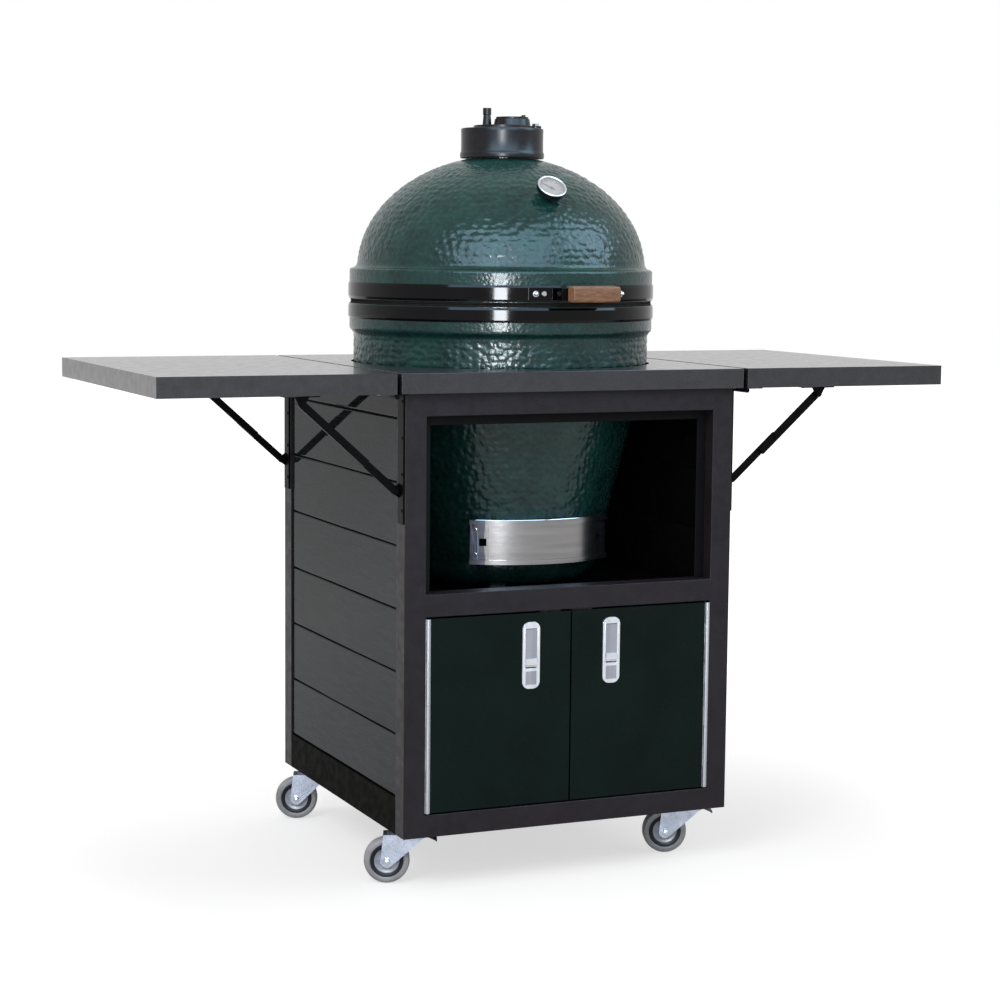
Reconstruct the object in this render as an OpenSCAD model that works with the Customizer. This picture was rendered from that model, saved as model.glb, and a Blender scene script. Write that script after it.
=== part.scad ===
/* [Cabinet] */
// Space between the grill and the side planks
side_room = 26; // [20:1:40]
// Space between the grill and the back planks
back_room = 28; // [24:1:40]
// Height of the cabinet frame
body_h = 743; // [735:1:800]
// Side of the square frame tube
tube = 38; // [32:1:40]
// Wall of the frame tubes
tube_wall = 2; // [1.5:0.1:3]
// Height of the feet between the grill and its shelf
foot_h = 16; // [10:1:24]
// Height of the kick rails at the foot of the sides and back
kick_h = 64; // [50:1:90]
// Thickness of the cladding planks
plank_t = 12; // [8:0.5:14]
// Height of one cladding plank with its gap
plank_pitch = 106; // [80:1:130]
// Gap between two planks
plank_gap = 1.6; // [1:0.1:4]
// How far the planks sit behind the faces of the posts
plank_set = 3; // [1:0.5:5]
// Width of the inner surround of the window
lip_w = 17; // [10:1:24]
// How far the inner surround sits behind the front of the frame
lip_set = 26; // [20:1:30]
// Thickness of the inner surround
lip_t = 3; // [2:0.5:4]
// Thickness of the storage floor
floor_t = 3; // [2:0.5:4]
// Thickness of the grill shelf
shelf_plate_t = 4; // [3:0.5:8]

/* [Table top] */
// Thickness of the table top and the side shelves
top_t = 34; // [30:1:36]
// Overhang of the centre top at each side
top_side = 12.5; // [10:0.5:16]
// Overhang of the centre top at the front
top_front = 15; // [10:0.5:20]
// Thickness of the folded sheet
sheet_t = 2; // [1.2:0.1:3]
// Width of the folded-in flange under the centre top
top_flange = 42; // [41:1:44]
// Space between the grill and its cut-out in the top
cutout_gap = 4; // [2.5:0.5:5]
// Depth of the turned-down rim of the cut-out
cutout_rim = 20; // [10:1:28]
// Length of each side shelf
shelf_l = 400; // [360:5:460]
// Gap between the centre top and a side shelf
shelf_gap = 7.5; // [6:0.5:10]
// Thickness of the cover under a side shelf
cover_t = 1.5; // [1:0.1:2.5]

/* [Shelf hinges] */
// Radius of the shelf hinge barrel
shelf_barrel_r = 4; // [3.5:0.1:4.5]
// Diameter of the shelf hinge pin
shelf_pin_d = 4; // [3:0.1:4.4]
// Thickness of a shelf hinge leaf
shelf_leaf_t = 1.5; // [1:0.1:1.9]
// Number of knuckles on each shelf hinge
shelf_knuckles = 9; // [5:2:15]

/* [Braces] */
// Drop of the wall pivot below the shelf hinge axis
brace_drop = 156; // [140:1:170]
// Distance of the wall pivot from the post's face
brace_wall = 11; // [10.5:0.5:12]
// Width of the brace links
link_w = 13; // [10:0.5:14]
// Thickness of the lower link
lower_t = 4; // [3:0.5:5]
// Depth of the upper channel
upper_t = 6; // [4:0.5:7]
// Wall of the upper channel
channel_t = 1.8; // [1.2:0.1:2.5]
// How far the channel runs past the elbow
overrun = 40; // [10:1:50]
// Diameter of the brace pivots
pivot_d = 6; // [5:0.1:7]
// Width of the rails that carry the braces
brace_rail_w = 24; // [20:1:28]
// Thickness of the rails that carry the braces
brace_rail_t = 3; // [2:0.1:3.5]
// Distance of the front braces from the front of the frame
brace_in = 14; // [13:1:24]
// Length of the rail on the post
wall_rail_l = 213; // [190:1:240]
// Length of the rail under the shelf
shelf_rail_l = 60; // [40:1:90]
// Thickness of the pivot ears
ear_t = 3; // [2:0.5:4]

/* [Doors] */
// Gap round the doors
door_gap = 3; // [2:0.5:5]
// Thickness of a door
door_t = 20; // [18:0.5:23]
// Thickness of the door's sheet
door_skin = 1.5; // [1:0.1:2]
// Radius of the door hinge barrel
door_barrel_r = 3.5; // [3:0.1:4]
// Diameter of the door hinge pin
door_pin_d = 2.6; // [2:0.1:3]
// Thickness of a door hinge leaf
door_leaf_t = 0.7; // [0.5:0.1:1]
// Number of knuckles on each door hinge
door_knuckles = 9; // [5:2:15]
// Height of the magnet catches
catch_h = 14; // [8:1:18]

/* [Latches] */
// Width of a latch plate
latch_w = 32; // [28:1:36]
// Height of a latch plate
latch_h = 114; // [105:1:130]
// Thickness of a latch plate
latch_t = 2.5; // [2:0.1:4]
// Distance of a latch from the middle of the cabinet
latch_x = 75.5; // [60:0.5:120]
// Distance of a latch's top from the top of the door
latch_drop = 15; // [8:1:30]
// Width of the paddle
paddle_w = 20.5; // [17:0.5:24]
// Height of the paddle
paddle_h = 64; // [50:1:72]
// Distance of the paddle's top from the top of the latch plate
paddle_drop = 12; // [10:1:18]
// Thickness of the paddle
paddle_t = 2.5; // [2:0.1:3]
// Depth of the latch cup behind its plate
cup_depth = 14; // [11:0.5:16]
// Diameter of the paddle's pin
paddle_pin_d = 3; // [2.5:0.1:4]

/* [Grill base] */
// Space between the grill and the front posts
front_room = 9; // [6:1:12]
// Outer radius of the base at the table top
base_r = 264; // [260:0.5:265]
// Outer radius of the base near its bottom
base_low_r = 178; // [165:1:190]
// Depth of the base below the table top
base_drop = 385; // [384:1:386]
// Radius of the round edge under the base
base_edge_r = 38; // [25:1:45]
// Wall of the ceramic
ceramic_t = 27; // [22:1:30]
// How far the two rims stand out from the base
rim_step = 7; // [6:0.5:10]
// Height of the underside of the base rim above the table top
rim_low_h = 56; // [50:1:60]
// Height of the base rim's top above the table top
rim_top_h = 104; // [100:1:110]
// Thickness of each felt gasket
gasket_t = 3.8; // [3:0.1:4.5]
// Gap between the two gaskets
gasket_gap = 0.4; // [0.3:0.1:0.8]
// Height of the base band
base_band_h = 25; // [20:1:30]
// Height of the dome band
dome_band_h = 28; // [24:1:32]
// Thickness of the bands
band_t = 2.5; // [2:0.1:3.5]
// Number of feet under the grill
foot_count = 3; // [3:1:5]
// Side of each foot
foot_w = 28; // [20:1:40]

/* [Dome] */
// How far the dome's ellipse stands in from the rims
dome_in = 13; // [9:1:20]
// Half height of the dome's ellipse
dome_rise = 203; // [180:1:220]
// Height of the ellipse's middle above the table top
dome_mid_h = 163; // [160:1:170]
// Outer radius of the chimney neck
neck_r = 62; // [56:0.5:64]
// Bore radius of the chimney neck
neck_bore_r = 46; // [38:1:48]
// Depth of the bar that ties the dome's hinge arms together
tie_bar_d = 16; // [12:1:20]

/* [Rear hinge] */
// Distance of the dome hinge axis behind the rims
hinge_room = 84; // [80:1:96]
// Radius of the spring housing
housing_r = 20; // [17:0.5:22]
// Half width between the lower hinge plates
hinge_half = 46; // [40:1:60]
// Thickness of the hinge plates
hinge_plate_t = 4; // [3:0.5:6]
// Diameter of the hinge shaft
hinge_shaft_d = 12; // [10:0.5:14]

/* [Handle] */
// Turn of the handle round the grill
handle_turn = 6.5; // [-10:0.5:10]
// Length of the wooden grip
grip_l = 94; // [80:1:104]
// Depth of the wooden grip
grip_d = 22; // [16:1:23]
// Height of the wooden grip
grip_h = 28; // [22:1:34]
// Distance of the bracket's cross bar in front of the bands
bracket_room = 27.5; // [25:0.5:29]
// Height of the handle bracket
bracket_h = 21; // [16:1:26]
// Thickness of the handle bracket
bracket_t = 2.5; // [2:0.1:3.5]
// Half width of the handle bracket
bracket_half = 57; // [54:1:64]

/* [Thermometer] */
// Height on the dome above the table top
gauge_h = 293; // [270:1:300]
// Stand-off of the case from the dome
gauge_stem = 10; // [6:1:24]
// Radius of the case
gauge_r = 26; // [22:0.5:30]
// Depth of the case
gauge_t = 13; // [12:0.5:18]
// Diameter of the threaded stem through the dome
probe_d = 10; // [6:0.5:12]
// Length of the probe inside the dome
probe_l = 75; // [50:1:90]

/* [Chimney cap] */
// Radius of the cap ring at its foot
cap_r = 75; // [73:0.5:80]
// Radius of the cap ring at its top
cap_top_r = 73.5; // [70:0.5:76]
// Space between the cap's foot and the dome's shoulder
cap_seat = 0.95; // [0.5:0.05:4]
// Height of the cap's top above the table top
cap_top_h = 414; // [405:1:420]
// Thickness of the cap's deck
cap_deck_t = 8; // [5:0.5:10]
// Radius of the sliding vent plate
vent_r = 51; // [49:0.5:54]
// Thickness of the vent plate's rim
vent_t = 5; // [4:0.5:7]
// Rise of the vent plate's raised middle
vent_rise = 12; // [8:0.5:16]
// Radius of the daisy wheel
daisy_r = 29; // [25:0.5:32]
// Number of holes in the daisy wheel
daisy_holes = 6; // [4:1:8]
// Height of the knob above the vent plate's rim
knob_h = 32; // [20:1:40]

/* [Draft door] */
// Distance of the draft frame's face in front of the base's foot
draft_out = 38; // [34:0.5:42]
// Half angle of the draft frame
draft_half = 37; // [34:0.5:40]
// Half angle of the sliding panel
panel_half = 28.5; // [26:0.5:30]
// Height of the draft frame's foot below the table top
draft_low = 340; // [335:1:344]
// Height of the draft frame
draft_h = 77; // [70:1:84]
// Thickness of the sliding panel
panel_t = 1.6; // [1:0.1:2]
// Thickness of the draft frame's sheet
draft_t = 2; // [1.5:0.1:3]

/* [Fire parts] */
// Space between the cooking grid and the rim's inside
grid_room = 15; // [13:1:26]
// Thickness of the cooking grid
grid_t = 6; // [4:0.5:8]
// Pitch of the grid's bars
grid_pitch = 24; // [16:1:30]
// Radius of the fire grate
grate_r = 92; // [88:1:98]
// Thickness of the fire grate
grate_t = 8; // [6:0.5:10]

/* [Casters] */
// Height of a caster from the floor to the frame
caster_h = 93; // [90:1:98]
// Diameter of a wheel
wheel_d = 78; // [72:1:80]
// Width of a wheel
wheel_w = 26; // [20:1:30]
// Distance of a swivel axis from the planks' outer faces
caster_side = 39; // [36:1:46]
// Distance of a swivel axis from the frame's front and back
caster_end = 72; // [60:1:80]
// Trail of a wheel behind its swivel axis
trail = 38; // [34:1:44]
// Angle that the casters are turned from the cart's width
caster_turn = 21; // [0:1:30]
// Side of a caster plate
plate_w = 62; // [56:1:70]
// Thickness of a caster plate
plate_t = 3; // [2:0.5:4]
// Diameter of an axle
axle_d = 8; // [6:0.5:10]
// Diameter of a kingpin
kingpin_d = 12; // [10:0.5:14]
// Thickness of the fork's sheet
fork_t = 3; // [2:0.5:4]
// Width of a brake pedal
pedal_w = 24; // [18:1:28]
// Length of a brake pedal
pedal_l = 26; // [18:1:30]

/* [Hidden] */
$fn = 96;

// Clearances
slide_gap = 0.3;
pin_gap = 0.05;
eps = 0.01;

// Left and right, and front and rear
LEFT = -1;
RIGHT = 1;
FRONT = -1;
REAR = 1;

// Overall placing: the origin is on the floor, in the middle of the whole object
grill_set = tube + front_room + base_r;
half_w = base_r + side_room + plank_set + plank_t;
body_w = 2 * half_w;
body_d = grill_set + base_r + back_room + plank_set + plank_t;
rim_r = base_r + rim_step;
hinge_back = rim_r + hinge_room;
hinge_reach = hinge_back + housing_r;
total_d = top_front + grill_set + hinge_reach;
front_y = top_front - total_d / 2;
back_y = front_y + body_d;
grill_y = front_y + grill_set;
base_z = caster_h;
under_z = base_z + body_h;
top_z = under_z + top_t;
top_d = top_front + body_d;
top_y = front_y - top_front;
inner_d = body_d - 2 * tube;
opening_half = half_w - tube;

// Cladding and inner rails
plank_in = plank_set + plank_t;
rail_w = tube - plank_in;
plank_zone = body_h - kick_h;
plank_count = ceil(plank_zone / plank_pitch);
shelf_top_h = body_h + top_t - base_drop - foot_h;
bearer_top_h = shelf_top_h - shelf_plate_t;
mid_rail_h = bearer_top_h;

// Doors
door_low_z = base_z + tube + door_gap;
door_high_z = base_z + mid_rail_h - door_gap;
door_h = door_high_z - door_low_z;
door_face = 0.5;
door_axis_x = opening_half - door_barrel_r - door_leaf_t - slide_gap;
door_edge_x = door_axis_x - door_barrel_r - slide_gap;
knuckle_h = door_h / door_knuckles;
door_w = door_edge_x - door_gap / 2;

// Latches
latch_top_z = door_high_z - latch_drop;
latch_face_y = front_y + door_face - latch_t;
cup_wall = 1.5;
cup_w = paddle_w + 2 * slide_gap + 2 * cup_wall;
paddle_swing = 1;
paddle_foot = 3;
cup_h = paddle_h + paddle_swing + paddle_foot + 2 * cup_wall;
cup_top_z = latch_top_z - paddle_drop + cup_wall + paddle_swing;
paddle_axis_z = latch_top_z - paddle_drop - paddle_pin_d / 2 - 1;
paddle_axis_y = latch_face_y + paddle_pin_d / 2 + 0.2;

// Shelf hinges
hinge_x = half_w + top_side + shelf_gap;
hinge_z = under_z - shelf_barrel_r - slide_gap;
shelf_knuckle = top_d / shelf_knuckles;

// Braces: measured from the shelf hinge axis, outwards and upwards
wall_u = half_w - hinge_x + brace_wall;
shelf_pivot_w = wall_u;
shelf_pivot_u = brace_drop;
brace_run = shelf_pivot_u - wall_u;
brace_rise = brace_drop + shelf_pivot_w;
brace_angle = atan2(brace_rise, brace_run);
link_l = sqrt(brace_run * brace_run + brace_rise * brace_rise) / 2;
front_brace_y = front_y + brace_in;
rear_brace_y = back_y - tube / 2;
rivet_d = pivot_d + 4;
rivet_t = 2;

// Grill, measured from the table top
split_h = rim_top_h + gasket_t + gasket_gap / 2;
dome_low_h = rim_top_h + 2 * gasket_t + gasket_gap;
rim_in_r = rim_r - ceramic_t - 3;
band_r = rim_r + band_t;
cutout_r = base_r + cutout_gap;
dome_r = rim_r - dome_in;
bracket_reach = band_r + bracket_room;
bracket_in_r = band_r / cos(0.8);
bracket_out_r = bracket_in_r + bracket_t;
seat_gap = 0.05;
draft_r = base_low_r + draft_out;
grid_r = rim_in_r - grid_room;
shoulder_h = dome_mid_h + 65;
crown_h = gauge_h + 11;
base_band_low = rim_top_h - base_band_h - 1;
dome_band_low = dome_low_h + 1;
base_cone_top = -15;
base_cone_low = -base_drop + base_edge_r + 2;
gasket_w = 24;
rim_high_h = dome_mid_h + 2;
hinge_h = split_h;
arm_in = hinge_half + hinge_plate_t + slide_gap;
arm_out = arm_in + hinge_plate_t;
collar_t = 4;
eye_r = 16;

// Chimney cap
neck_angle = acos(neck_r / dome_r);
cap_low_h = dome_mid_h + dome_rise * sin(neck_angle) + cap_seat;
neck_top_h = cap_top_h - cap_deck_t - slide_gap;
cap_pivot = [55, -23];
cap_knob = [-25, 11];
daisy_at = [16, -7];
vent_foot_r = 33;
vent_low_h = cap_top_h + slide_gap;
vent_top_h = vent_low_h + vent_t + vent_rise;
vent_top_r = daisy_r + 2;
cap_pin_d = 8;
daisy_pin_d = 6;
daisy_t = 3;
hole_ring_r = 17;
hole_r = 5.5;

// Thermometer: the direction is the dome's normal at its seat
gauge_r0 = dome_r * sqrt(1 - pow((gauge_h - dome_mid_h) / dome_rise, 2));
gauge_tilt = atan2((gauge_h - dome_mid_h) / (dome_rise * dome_rise), gauge_r0 / (dome_r * dome_r));
gauge_wall = 2;
dial_at = gauge_stem + gauge_t - 7;
dial_t = 1;
lens_at = gauge_stem + gauge_t - 3;
lens_t = 1.5;

// Fire parts
firebox_low_h = -base_drop + ceramic_t;
firebox_top_h = -62;
cup_high_h = -draft_low + draft_h + 8;
firebox_gap = 8;
firebox_t = 20;
firebox_floor_h = firebox_low_h + 55;
ring_top_h = 70;
ring_t = 18;

// Casters
wheel_r = wheel_d / 2;
crown_z = base_z - plate_t - slide_gap;
crown_t = 5;
deck_z = crown_z - crown_t - fork_t;
leg_y = wheel_w / 2 + 1.5;
crown_r = 20;
pedal_axis_x = crown_r + 4;
pedal_pin_d = 4;
pedal_t = 3.5;

// Square tube standing at a corner, with its bore along one axis
module tube_z(size_x, size_y, size_z, wall) {
    difference() {
        cube([size_x, size_y, size_z]);
        translate([wall, wall, -eps])
            cube([size_x - 2 * wall, size_y - 2 * wall, size_z + 2 * eps]);
    }
}

module tube_x(size_x, size_y, size_z, wall) {
    difference() {
        cube([size_x, size_y, size_z]);
        translate([-eps, wall, wall])
            cube([size_x + 2 * eps, size_y - 2 * wall, size_z - 2 * wall]);
    }
}

module tube_y(size_x, size_y, size_z, wall) {
    difference() {
        cube([size_x, size_y, size_z]);
        translate([wall, -eps, wall])
            cube([size_x - 2 * wall, size_y + 2 * eps, size_z - 2 * wall]);
    }
}

// Flat outline with round corners, from squares and circles
module rounded(w, h, r) {
    square([w - 2 * r, h], center = true);
    square([w, h - 2 * r], center = true);
    for (x = [-1, 1])
        for (y = [-1, 1])
            translate([x * (w / 2 - r), y * (h / 2 - r)])
                circle(r);
}

module ring(outer_r, inner_r) {
    difference() {
        circle(outer_r);
        circle(inner_r);
    }
}

module rod_x(d, l) {
    rotate([0, 90, 0])
        cylinder(d = d, h = l, center = true);
}

module rod_y(d, l) {
    rotate([90, 0, 0])
        cylinder(d = d, h = l, center = true);
}

// Moves the children to the grill's axis at the table top's height
module at_grill() {
    translate([0, grill_y, top_z])
        children();
}

// Mirrors the children, drawn on the right, to the given side
module on_side(side) {
    mirror([side == LEFT ? 1 : 0, 0, 0])
        children();
}

module frame_posts(y) {
    for (side = [LEFT, RIGHT])
        on_side(side)
            translate([opening_half, y, base_z])
                tube_z(tube, tube, body_h, tube_wall);
}

module cross_rail(y, low_z, high) {
    translate([-opening_half, y, low_z])
        tube_x(2 * opening_half, tube, high, tube_wall);
}

module front_frame() {
    color([0.24, 0.21, 0.22]) {
        frame_posts(front_y);
        cross_rail(front_y, base_z, tube);
        cross_rail(front_y, base_z + mid_rail_h, tube);
        cross_rail(front_y, under_z - tube, tube);
    }
}

module rear_frame() {
    color([0.24, 0.21, 0.22]) {
        frame_posts(back_y - tube);
        cross_rail(back_y - tube, base_z, kick_h);
        translate([-opening_half, back_y - tube, under_z - tube])
            tube_x(2 * opening_half, rail_w, tube, tube_wall);
        translate([-opening_half, back_y - tube, base_z + bearer_top_h - tube])
            tube_x(2 * opening_half, rail_w, tube, tube_wall);
    }
}

module side_rails() {
    color([0.24, 0.21, 0.22])
        for (side = [LEFT, RIGHT])
            on_side(side) {
                translate([opening_half, front_y + tube, base_z])
                    tube_y(tube, inner_d, kick_h, tube_wall);
                translate([opening_half, front_y + tube, base_z + bearer_top_h - tube])
                    tube_y(rail_w, inner_d, tube, tube_wall);
                translate([opening_half, front_y + tube, under_z - tube])
                    tube_y(rail_w, inner_d, tube, tube_wall);
            }
}

module window_lip() {
    low = base_z + mid_rail_h + tube;
    high = under_z - tube;
    color([0.16, 0.14, 0.15])
        translate([0, front_y + lip_set, 0])
            difference() {
                translate([-opening_half, 0, low])
                    cube([2 * opening_half, lip_t, high - low]);
                translate([-opening_half + lip_w, -eps, low - eps])
                    cube([2 * (opening_half - lip_w), lip_t + 2 * eps, high - low - lip_w + eps]);
            }
}

// Planks along X with their outer faces at y = 0
module plank_stack(len) {
    for (i = [0 : plank_count - 1]) {
        low = i * plank_pitch + plank_gap / 2;
        high = min((i + 1) * plank_pitch, plank_zone) - plank_gap / 2;
        translate([-len / 2, 0, base_z + kick_h + low])
            cube([len, plank_t, high - low]);
    }
}

module side_planks() {
    color([0.34, 0.36, 0.36])
        for (side = [LEFT, RIGHT])
            on_side(side)
                translate([half_w - plank_set, (front_y + back_y) / 2, 0])
                    rotate([0, 0, 90])
                        plank_stack(inner_d);
}

module back_planks() {
    color([0.34, 0.36, 0.36])
        translate([0, back_y - plank_in, 0])
            plank_stack(2 * opening_half);
}

module floor_panel() {
    color([0.14, 0.13, 0.13])
        translate([-opening_half, front_y + door_t + door_gap, base_z + tube])
            cube([2 * opening_half, body_d - tube - door_t - door_gap, floor_t]);
}

module grill_shelf() {
    color([0.16, 0.14, 0.15])
        translate([-half_w + plank_in, front_y + tube, base_z + bearer_top_h])
            cube([body_w - 2 * plank_in, inner_d, shelf_plate_t]);
}

module centre_top() {
    w = body_w + 2 * top_side;
    color([0.33, 0.31, 0.33])
        difference() {
            union() {
                difference() {
                    translate([-w / 2, top_y, under_z])
                        cube([w, top_d, top_t]);
                    translate([-w / 2 + sheet_t, top_y + sheet_t, under_z + sheet_t])
                        cube([w - 2 * sheet_t, top_d - 2 * sheet_t, top_t - 2 * sheet_t]);
                    translate([-w / 2 + top_flange, top_y + top_flange, under_z - eps])
                        cube([w - 2 * top_flange, top_d - 2 * top_flange, sheet_t + 2 * eps]);
                }
                at_grill()
                    translate([0, 0, -cutout_rim])
                        cylinder(r = cutout_r + sheet_t, h = cutout_rim - sheet_t / 2);
            }
            at_grill()
                translate([0, 0, -top_t - eps])
                    cylinder(r = cutout_r, h = top_t + 2 * eps, $fn = 180);
        }
}

// One door hinge on the right
module fixed_hinge() {
    translate([opening_half - door_leaf_t, front_y, door_low_z])
        cube([door_leaf_t, door_t, door_h]);
    for (i = [0 : 2 : door_knuckles - 1])
        translate([0, front_y, door_low_z + i * knuckle_h]) {
            translate([door_axis_x, 0, 0])
                cylinder(r = door_barrel_r, h = knuckle_h, $fn = 32);
            translate([door_axis_x, 0, 0])
                cube([opening_half - door_axis_x, door_barrel_r, knuckle_h]);
        }
    translate([door_axis_x, front_y, door_low_z])
        cylinder(d = door_pin_d, h = door_h, $fn = 24);
}

module door_hinges() {
    catch_l = 40;
    catch_d = 12;
    color([0.78, 0.79, 0.8]) {
        for (side = [LEFT, RIGHT])
            on_side(side)
                fixed_hinge();
        for (side = [LEFT, RIGHT])
            on_side(side)
                translate([catch_l / 4, front_y + door_t + 2, base_z + mid_rail_h - catch_h])
                    cube([catch_l, catch_d, catch_h]);
    }
}

// One shelf hinge on the right
module fixed_shelf_hinge() {
    leaf_w = top_side + shelf_gap - slide_gap - shelf_barrel_r;
    translate([half_w, top_y, under_z - shelf_leaf_t])
        cube([leaf_w, top_d, shelf_leaf_t]);
    for (i = [0 : 2 : shelf_knuckles - 1])
        translate([0, top_y + i * shelf_knuckle, 0]) {
            translate([hinge_x, shelf_knuckle / 2, hinge_z])
                rod_y(2 * shelf_barrel_r, shelf_knuckle);
            translate([half_w + leaf_w - 1, 0, under_z - shelf_leaf_t])
                cube([hinge_x - half_w - leaf_w + 1, shelf_knuckle, shelf_leaf_t]);
        }
    translate([hinge_x, top_y + top_d / 2, hinge_z])
        rod_y(shelf_pin_d, top_d);
}

module shelf_hinges() {
    color([0.12, 0.12, 0.12])
        for (side = [LEFT, RIGHT])
            on_side(side)
                fixed_shelf_hinge();
}

// Flat ear for a pivot: a round end joined to a foot, drawn in X and Z
module ear(foot_x, foot_z0, foot_z1, at_x, at_z) {
    rotate([90, 0, 0])
        linear_extrude(ear_t, center = true) {
            translate([at_x, at_z])
                circle(link_w / 2);
            polygon([[foot_x, foot_z0], [at_x, at_z - link_w / 2],
                [at_x, at_z + link_w / 2], [foot_x, foot_z1]]);
        }
}

// One brace rail on the right
module brace_rail(y) {
    pivot_x = half_w + brace_wall;
    pivot_z = hinge_z - brace_drop;
    foot = link_w;
    translate([half_w, y - brace_rail_w / 2, under_z - shelf_leaf_t - slide_gap - wall_rail_l])
        cube([brace_rail_t, brace_rail_w, wall_rail_l]);
    translate([0, y + slide_gap + lower_t + slide_gap + ear_t / 2, 0])
        ear(half_w + brace_rail_t - 1, pivot_z - foot, pivot_z + foot, pivot_x, pivot_z);
    translate([pivot_x, y + slide_gap + (lower_t + slide_gap + ear_t) / 2, pivot_z])
        rod_y(pivot_d, lower_t + slide_gap + ear_t);
    translate([pivot_x, y + slide_gap + lower_t + slide_gap + ear_t + rivet_t / 2, pivot_z])
        rod_y(rivet_d, rivet_t);
}

module brace_rails() {
    color([0.07, 0.07, 0.07])
        for (side = [LEFT, RIGHT])
            for (y = [front_brace_y, rear_brace_y])
                on_side(side)
                    brace_rail(y);
}

module place_caster(side, end) {
    x = side * (half_w - caster_side);
    y = end == FRONT ? front_y + caster_end : back_y - caster_end;
    translate([x, y, 0])
        rotate([0, 0, -caster_turn])
            children();
}

module caster_plates() {
    nut_r = 9;
    nut_h = 4;
    pin_l = base_z - plate_t - deck_z;
    color([0.72, 0.73, 0.75])
        for (side = [LEFT, RIGHT])
            for (end = [FRONT, REAR])
                place_caster(side, end) {
                    translate([0, 0, base_z - plate_t])
                        rotate([0, 0, caster_turn])
                            linear_extrude(plate_t)
                                rounded(plate_w, plate_w, 6);
                    translate([0, 0, deck_z - slide_gap])
                        cylinder(d = kingpin_d, h = pin_l + slide_gap + 1);
                    translate([0, 0, deck_z - slide_gap - nut_h])
                        cylinder(r = nut_r, h = nut_h, $fn = 6);
                }
}

module grill_feet() {
    foot_ring = 130;
    color([0.75, 0.73, 0.68])
        at_grill()
            for (i = [0 : foot_count - 1])
                rotate([0, 0, -114 + i * 360 / foot_count])
                    translate([foot_ring - foot_w / 2, -foot_w / 2, shelf_top_h - body_h - top_t])
                        cube([foot_w, foot_w, body_h + top_t - shelf_top_h - base_drop]);
}

// Points of the base's outer side, from its foot to the underside of its rim
function base_side() = concat(
    [for (a = [-90 : 15 : 0])
        [base_low_r - base_edge_r + base_edge_r * cos(a),
            -base_drop + base_edge_r + base_edge_r * sin(a)]],
    [[base_r - 3, base_cone_top], [base_r, 0], [base_r, rim_low_h - 6]]);

module base_outline() {
    polygon(concat([[0, -base_drop]], base_side(),
        [[rim_r - 3, rim_low_h], [rim_r, rim_low_h + 4], [rim_r, rim_top_h], [0, rim_top_h]]));
}

module base_hollow() {
    in_low = base_low_r - ceramic_t;
    polygon([[0, -base_drop + ceramic_t], [in_low - 12, -base_drop + ceramic_t],
        [in_low, -base_drop + ceramic_t + 14], [base_r - ceramic_t - 4, base_cone_top],
        [rim_in_r, 20], [rim_in_r, rim_top_h + eps], [0, rim_top_h + eps]]);
}

// The whole base cut down to the part between two heights
module base_ring(low, high) {
    difference() {
        rotate_extrude()
            base_outline();
        rotate_extrude()
            base_hollow();
        translate([0, 0, -base_drop - 1])
            cylinder(r = rim_r + 5, h = low + base_drop + 1);
        translate([0, 0, high])
            cylinder(r = rim_r + 5, h = rim_top_h + 1 - high);
    }
}

// The base is one ceramic piece, drawn as a floor, a cup and a shell
module base_shell() {
    color([0.14, 0.28, 0.26])
        at_grill()
            difference() {
                rotate_extrude()
                    base_outline();
                rotate_extrude()
                    base_hollow();
                translate([0, 0, -base_drop - 1])
                    cylinder(r = rim_r + 5, h = cup_high_h + base_drop + 1);
            }
}

module base_cup() {
    slot_half = 82;
    slot_inset = 8;
    color([0.14, 0.28, 0.26])
        at_grill()
            difference() {
                base_ring(firebox_low_h, cup_high_h);
                translate([-slot_half, -draft_r, -draft_low + slot_inset])
                    cube([2 * slot_half, draft_r * 0.6, draft_h - 2 * slot_inset]);
            }
}

module base_floor() {
    color([0.14, 0.28, 0.26])
        at_grill()
            difference() {
                rotate_extrude()
                    base_outline();
                translate([0, 0, firebox_low_h])
                    cylinder(r = rim_r + 5, h = rim_top_h + 1 - firebox_low_h);
            }
}

module base_gasket() {
    color([0.55, 0.54, 0.5])
        at_grill()
            translate([0, 0, rim_top_h])
                linear_extrude(gasket_t)
                    ring(rim_r - 1, rim_r - 1 - gasket_w);
}

// Band of two-part clamp steel round a rim, slightly crowned
module band(low_h, high) {
    edge = band_t / 2;
    rotate_extrude()
        polygon([[rim_r, low_h], [rim_r + edge, low_h], [band_r, low_h + 4],
            [band_r, low_h + high - 4], [rim_r + edge, low_h + high], [rim_r, low_h + high]]);
}

module base_band() {
    plate_low = base_band_low - 6;
    plate_r = housing_r - 2;
    shaft_l = 2 * (arm_out + slide_gap + collar_t);
    color([0.05, 0.05, 0.06])
        at_grill() {
            band(base_band_low, base_band_h);
            for (side = [LEFT, RIGHT])
                on_side(side) {
                    translate([hinge_half, 0, 0])
                        rotate([90, 0, 90])
                            linear_extrude(hinge_plate_t) {
                                polygon([[rim_r - 3, plate_low],
                                    [hinge_back, hinge_h - plate_r],
                                    [hinge_back, hinge_h + plate_r],
                                    [hinge_back - housing_r, rim_top_h], [rim_r - 3, rim_top_h]]);
                                translate([hinge_back, hinge_h])
                                    circle(plate_r);
                            }
                    translate([arm_out + slide_gap + collar_t / 2, hinge_back, hinge_h])
                        rod_x(hinge_shaft_d + 8, collar_t);
                }
            translate([0, hinge_back, hinge_h]) {
                rod_x(hinge_shaft_d, shaft_l);
                rod_x(2 * housing_r, 2 * hinge_half);
            }
        }
}

// Radius of the base's hollow at a height
function hollow_r(h) =
    base_low_r - ceramic_t + (base_r - 4 - base_low_r) * (h + base_drop - ceramic_t - 14)
    / (base_cone_top + base_drop - ceramic_t - 14);

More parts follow.
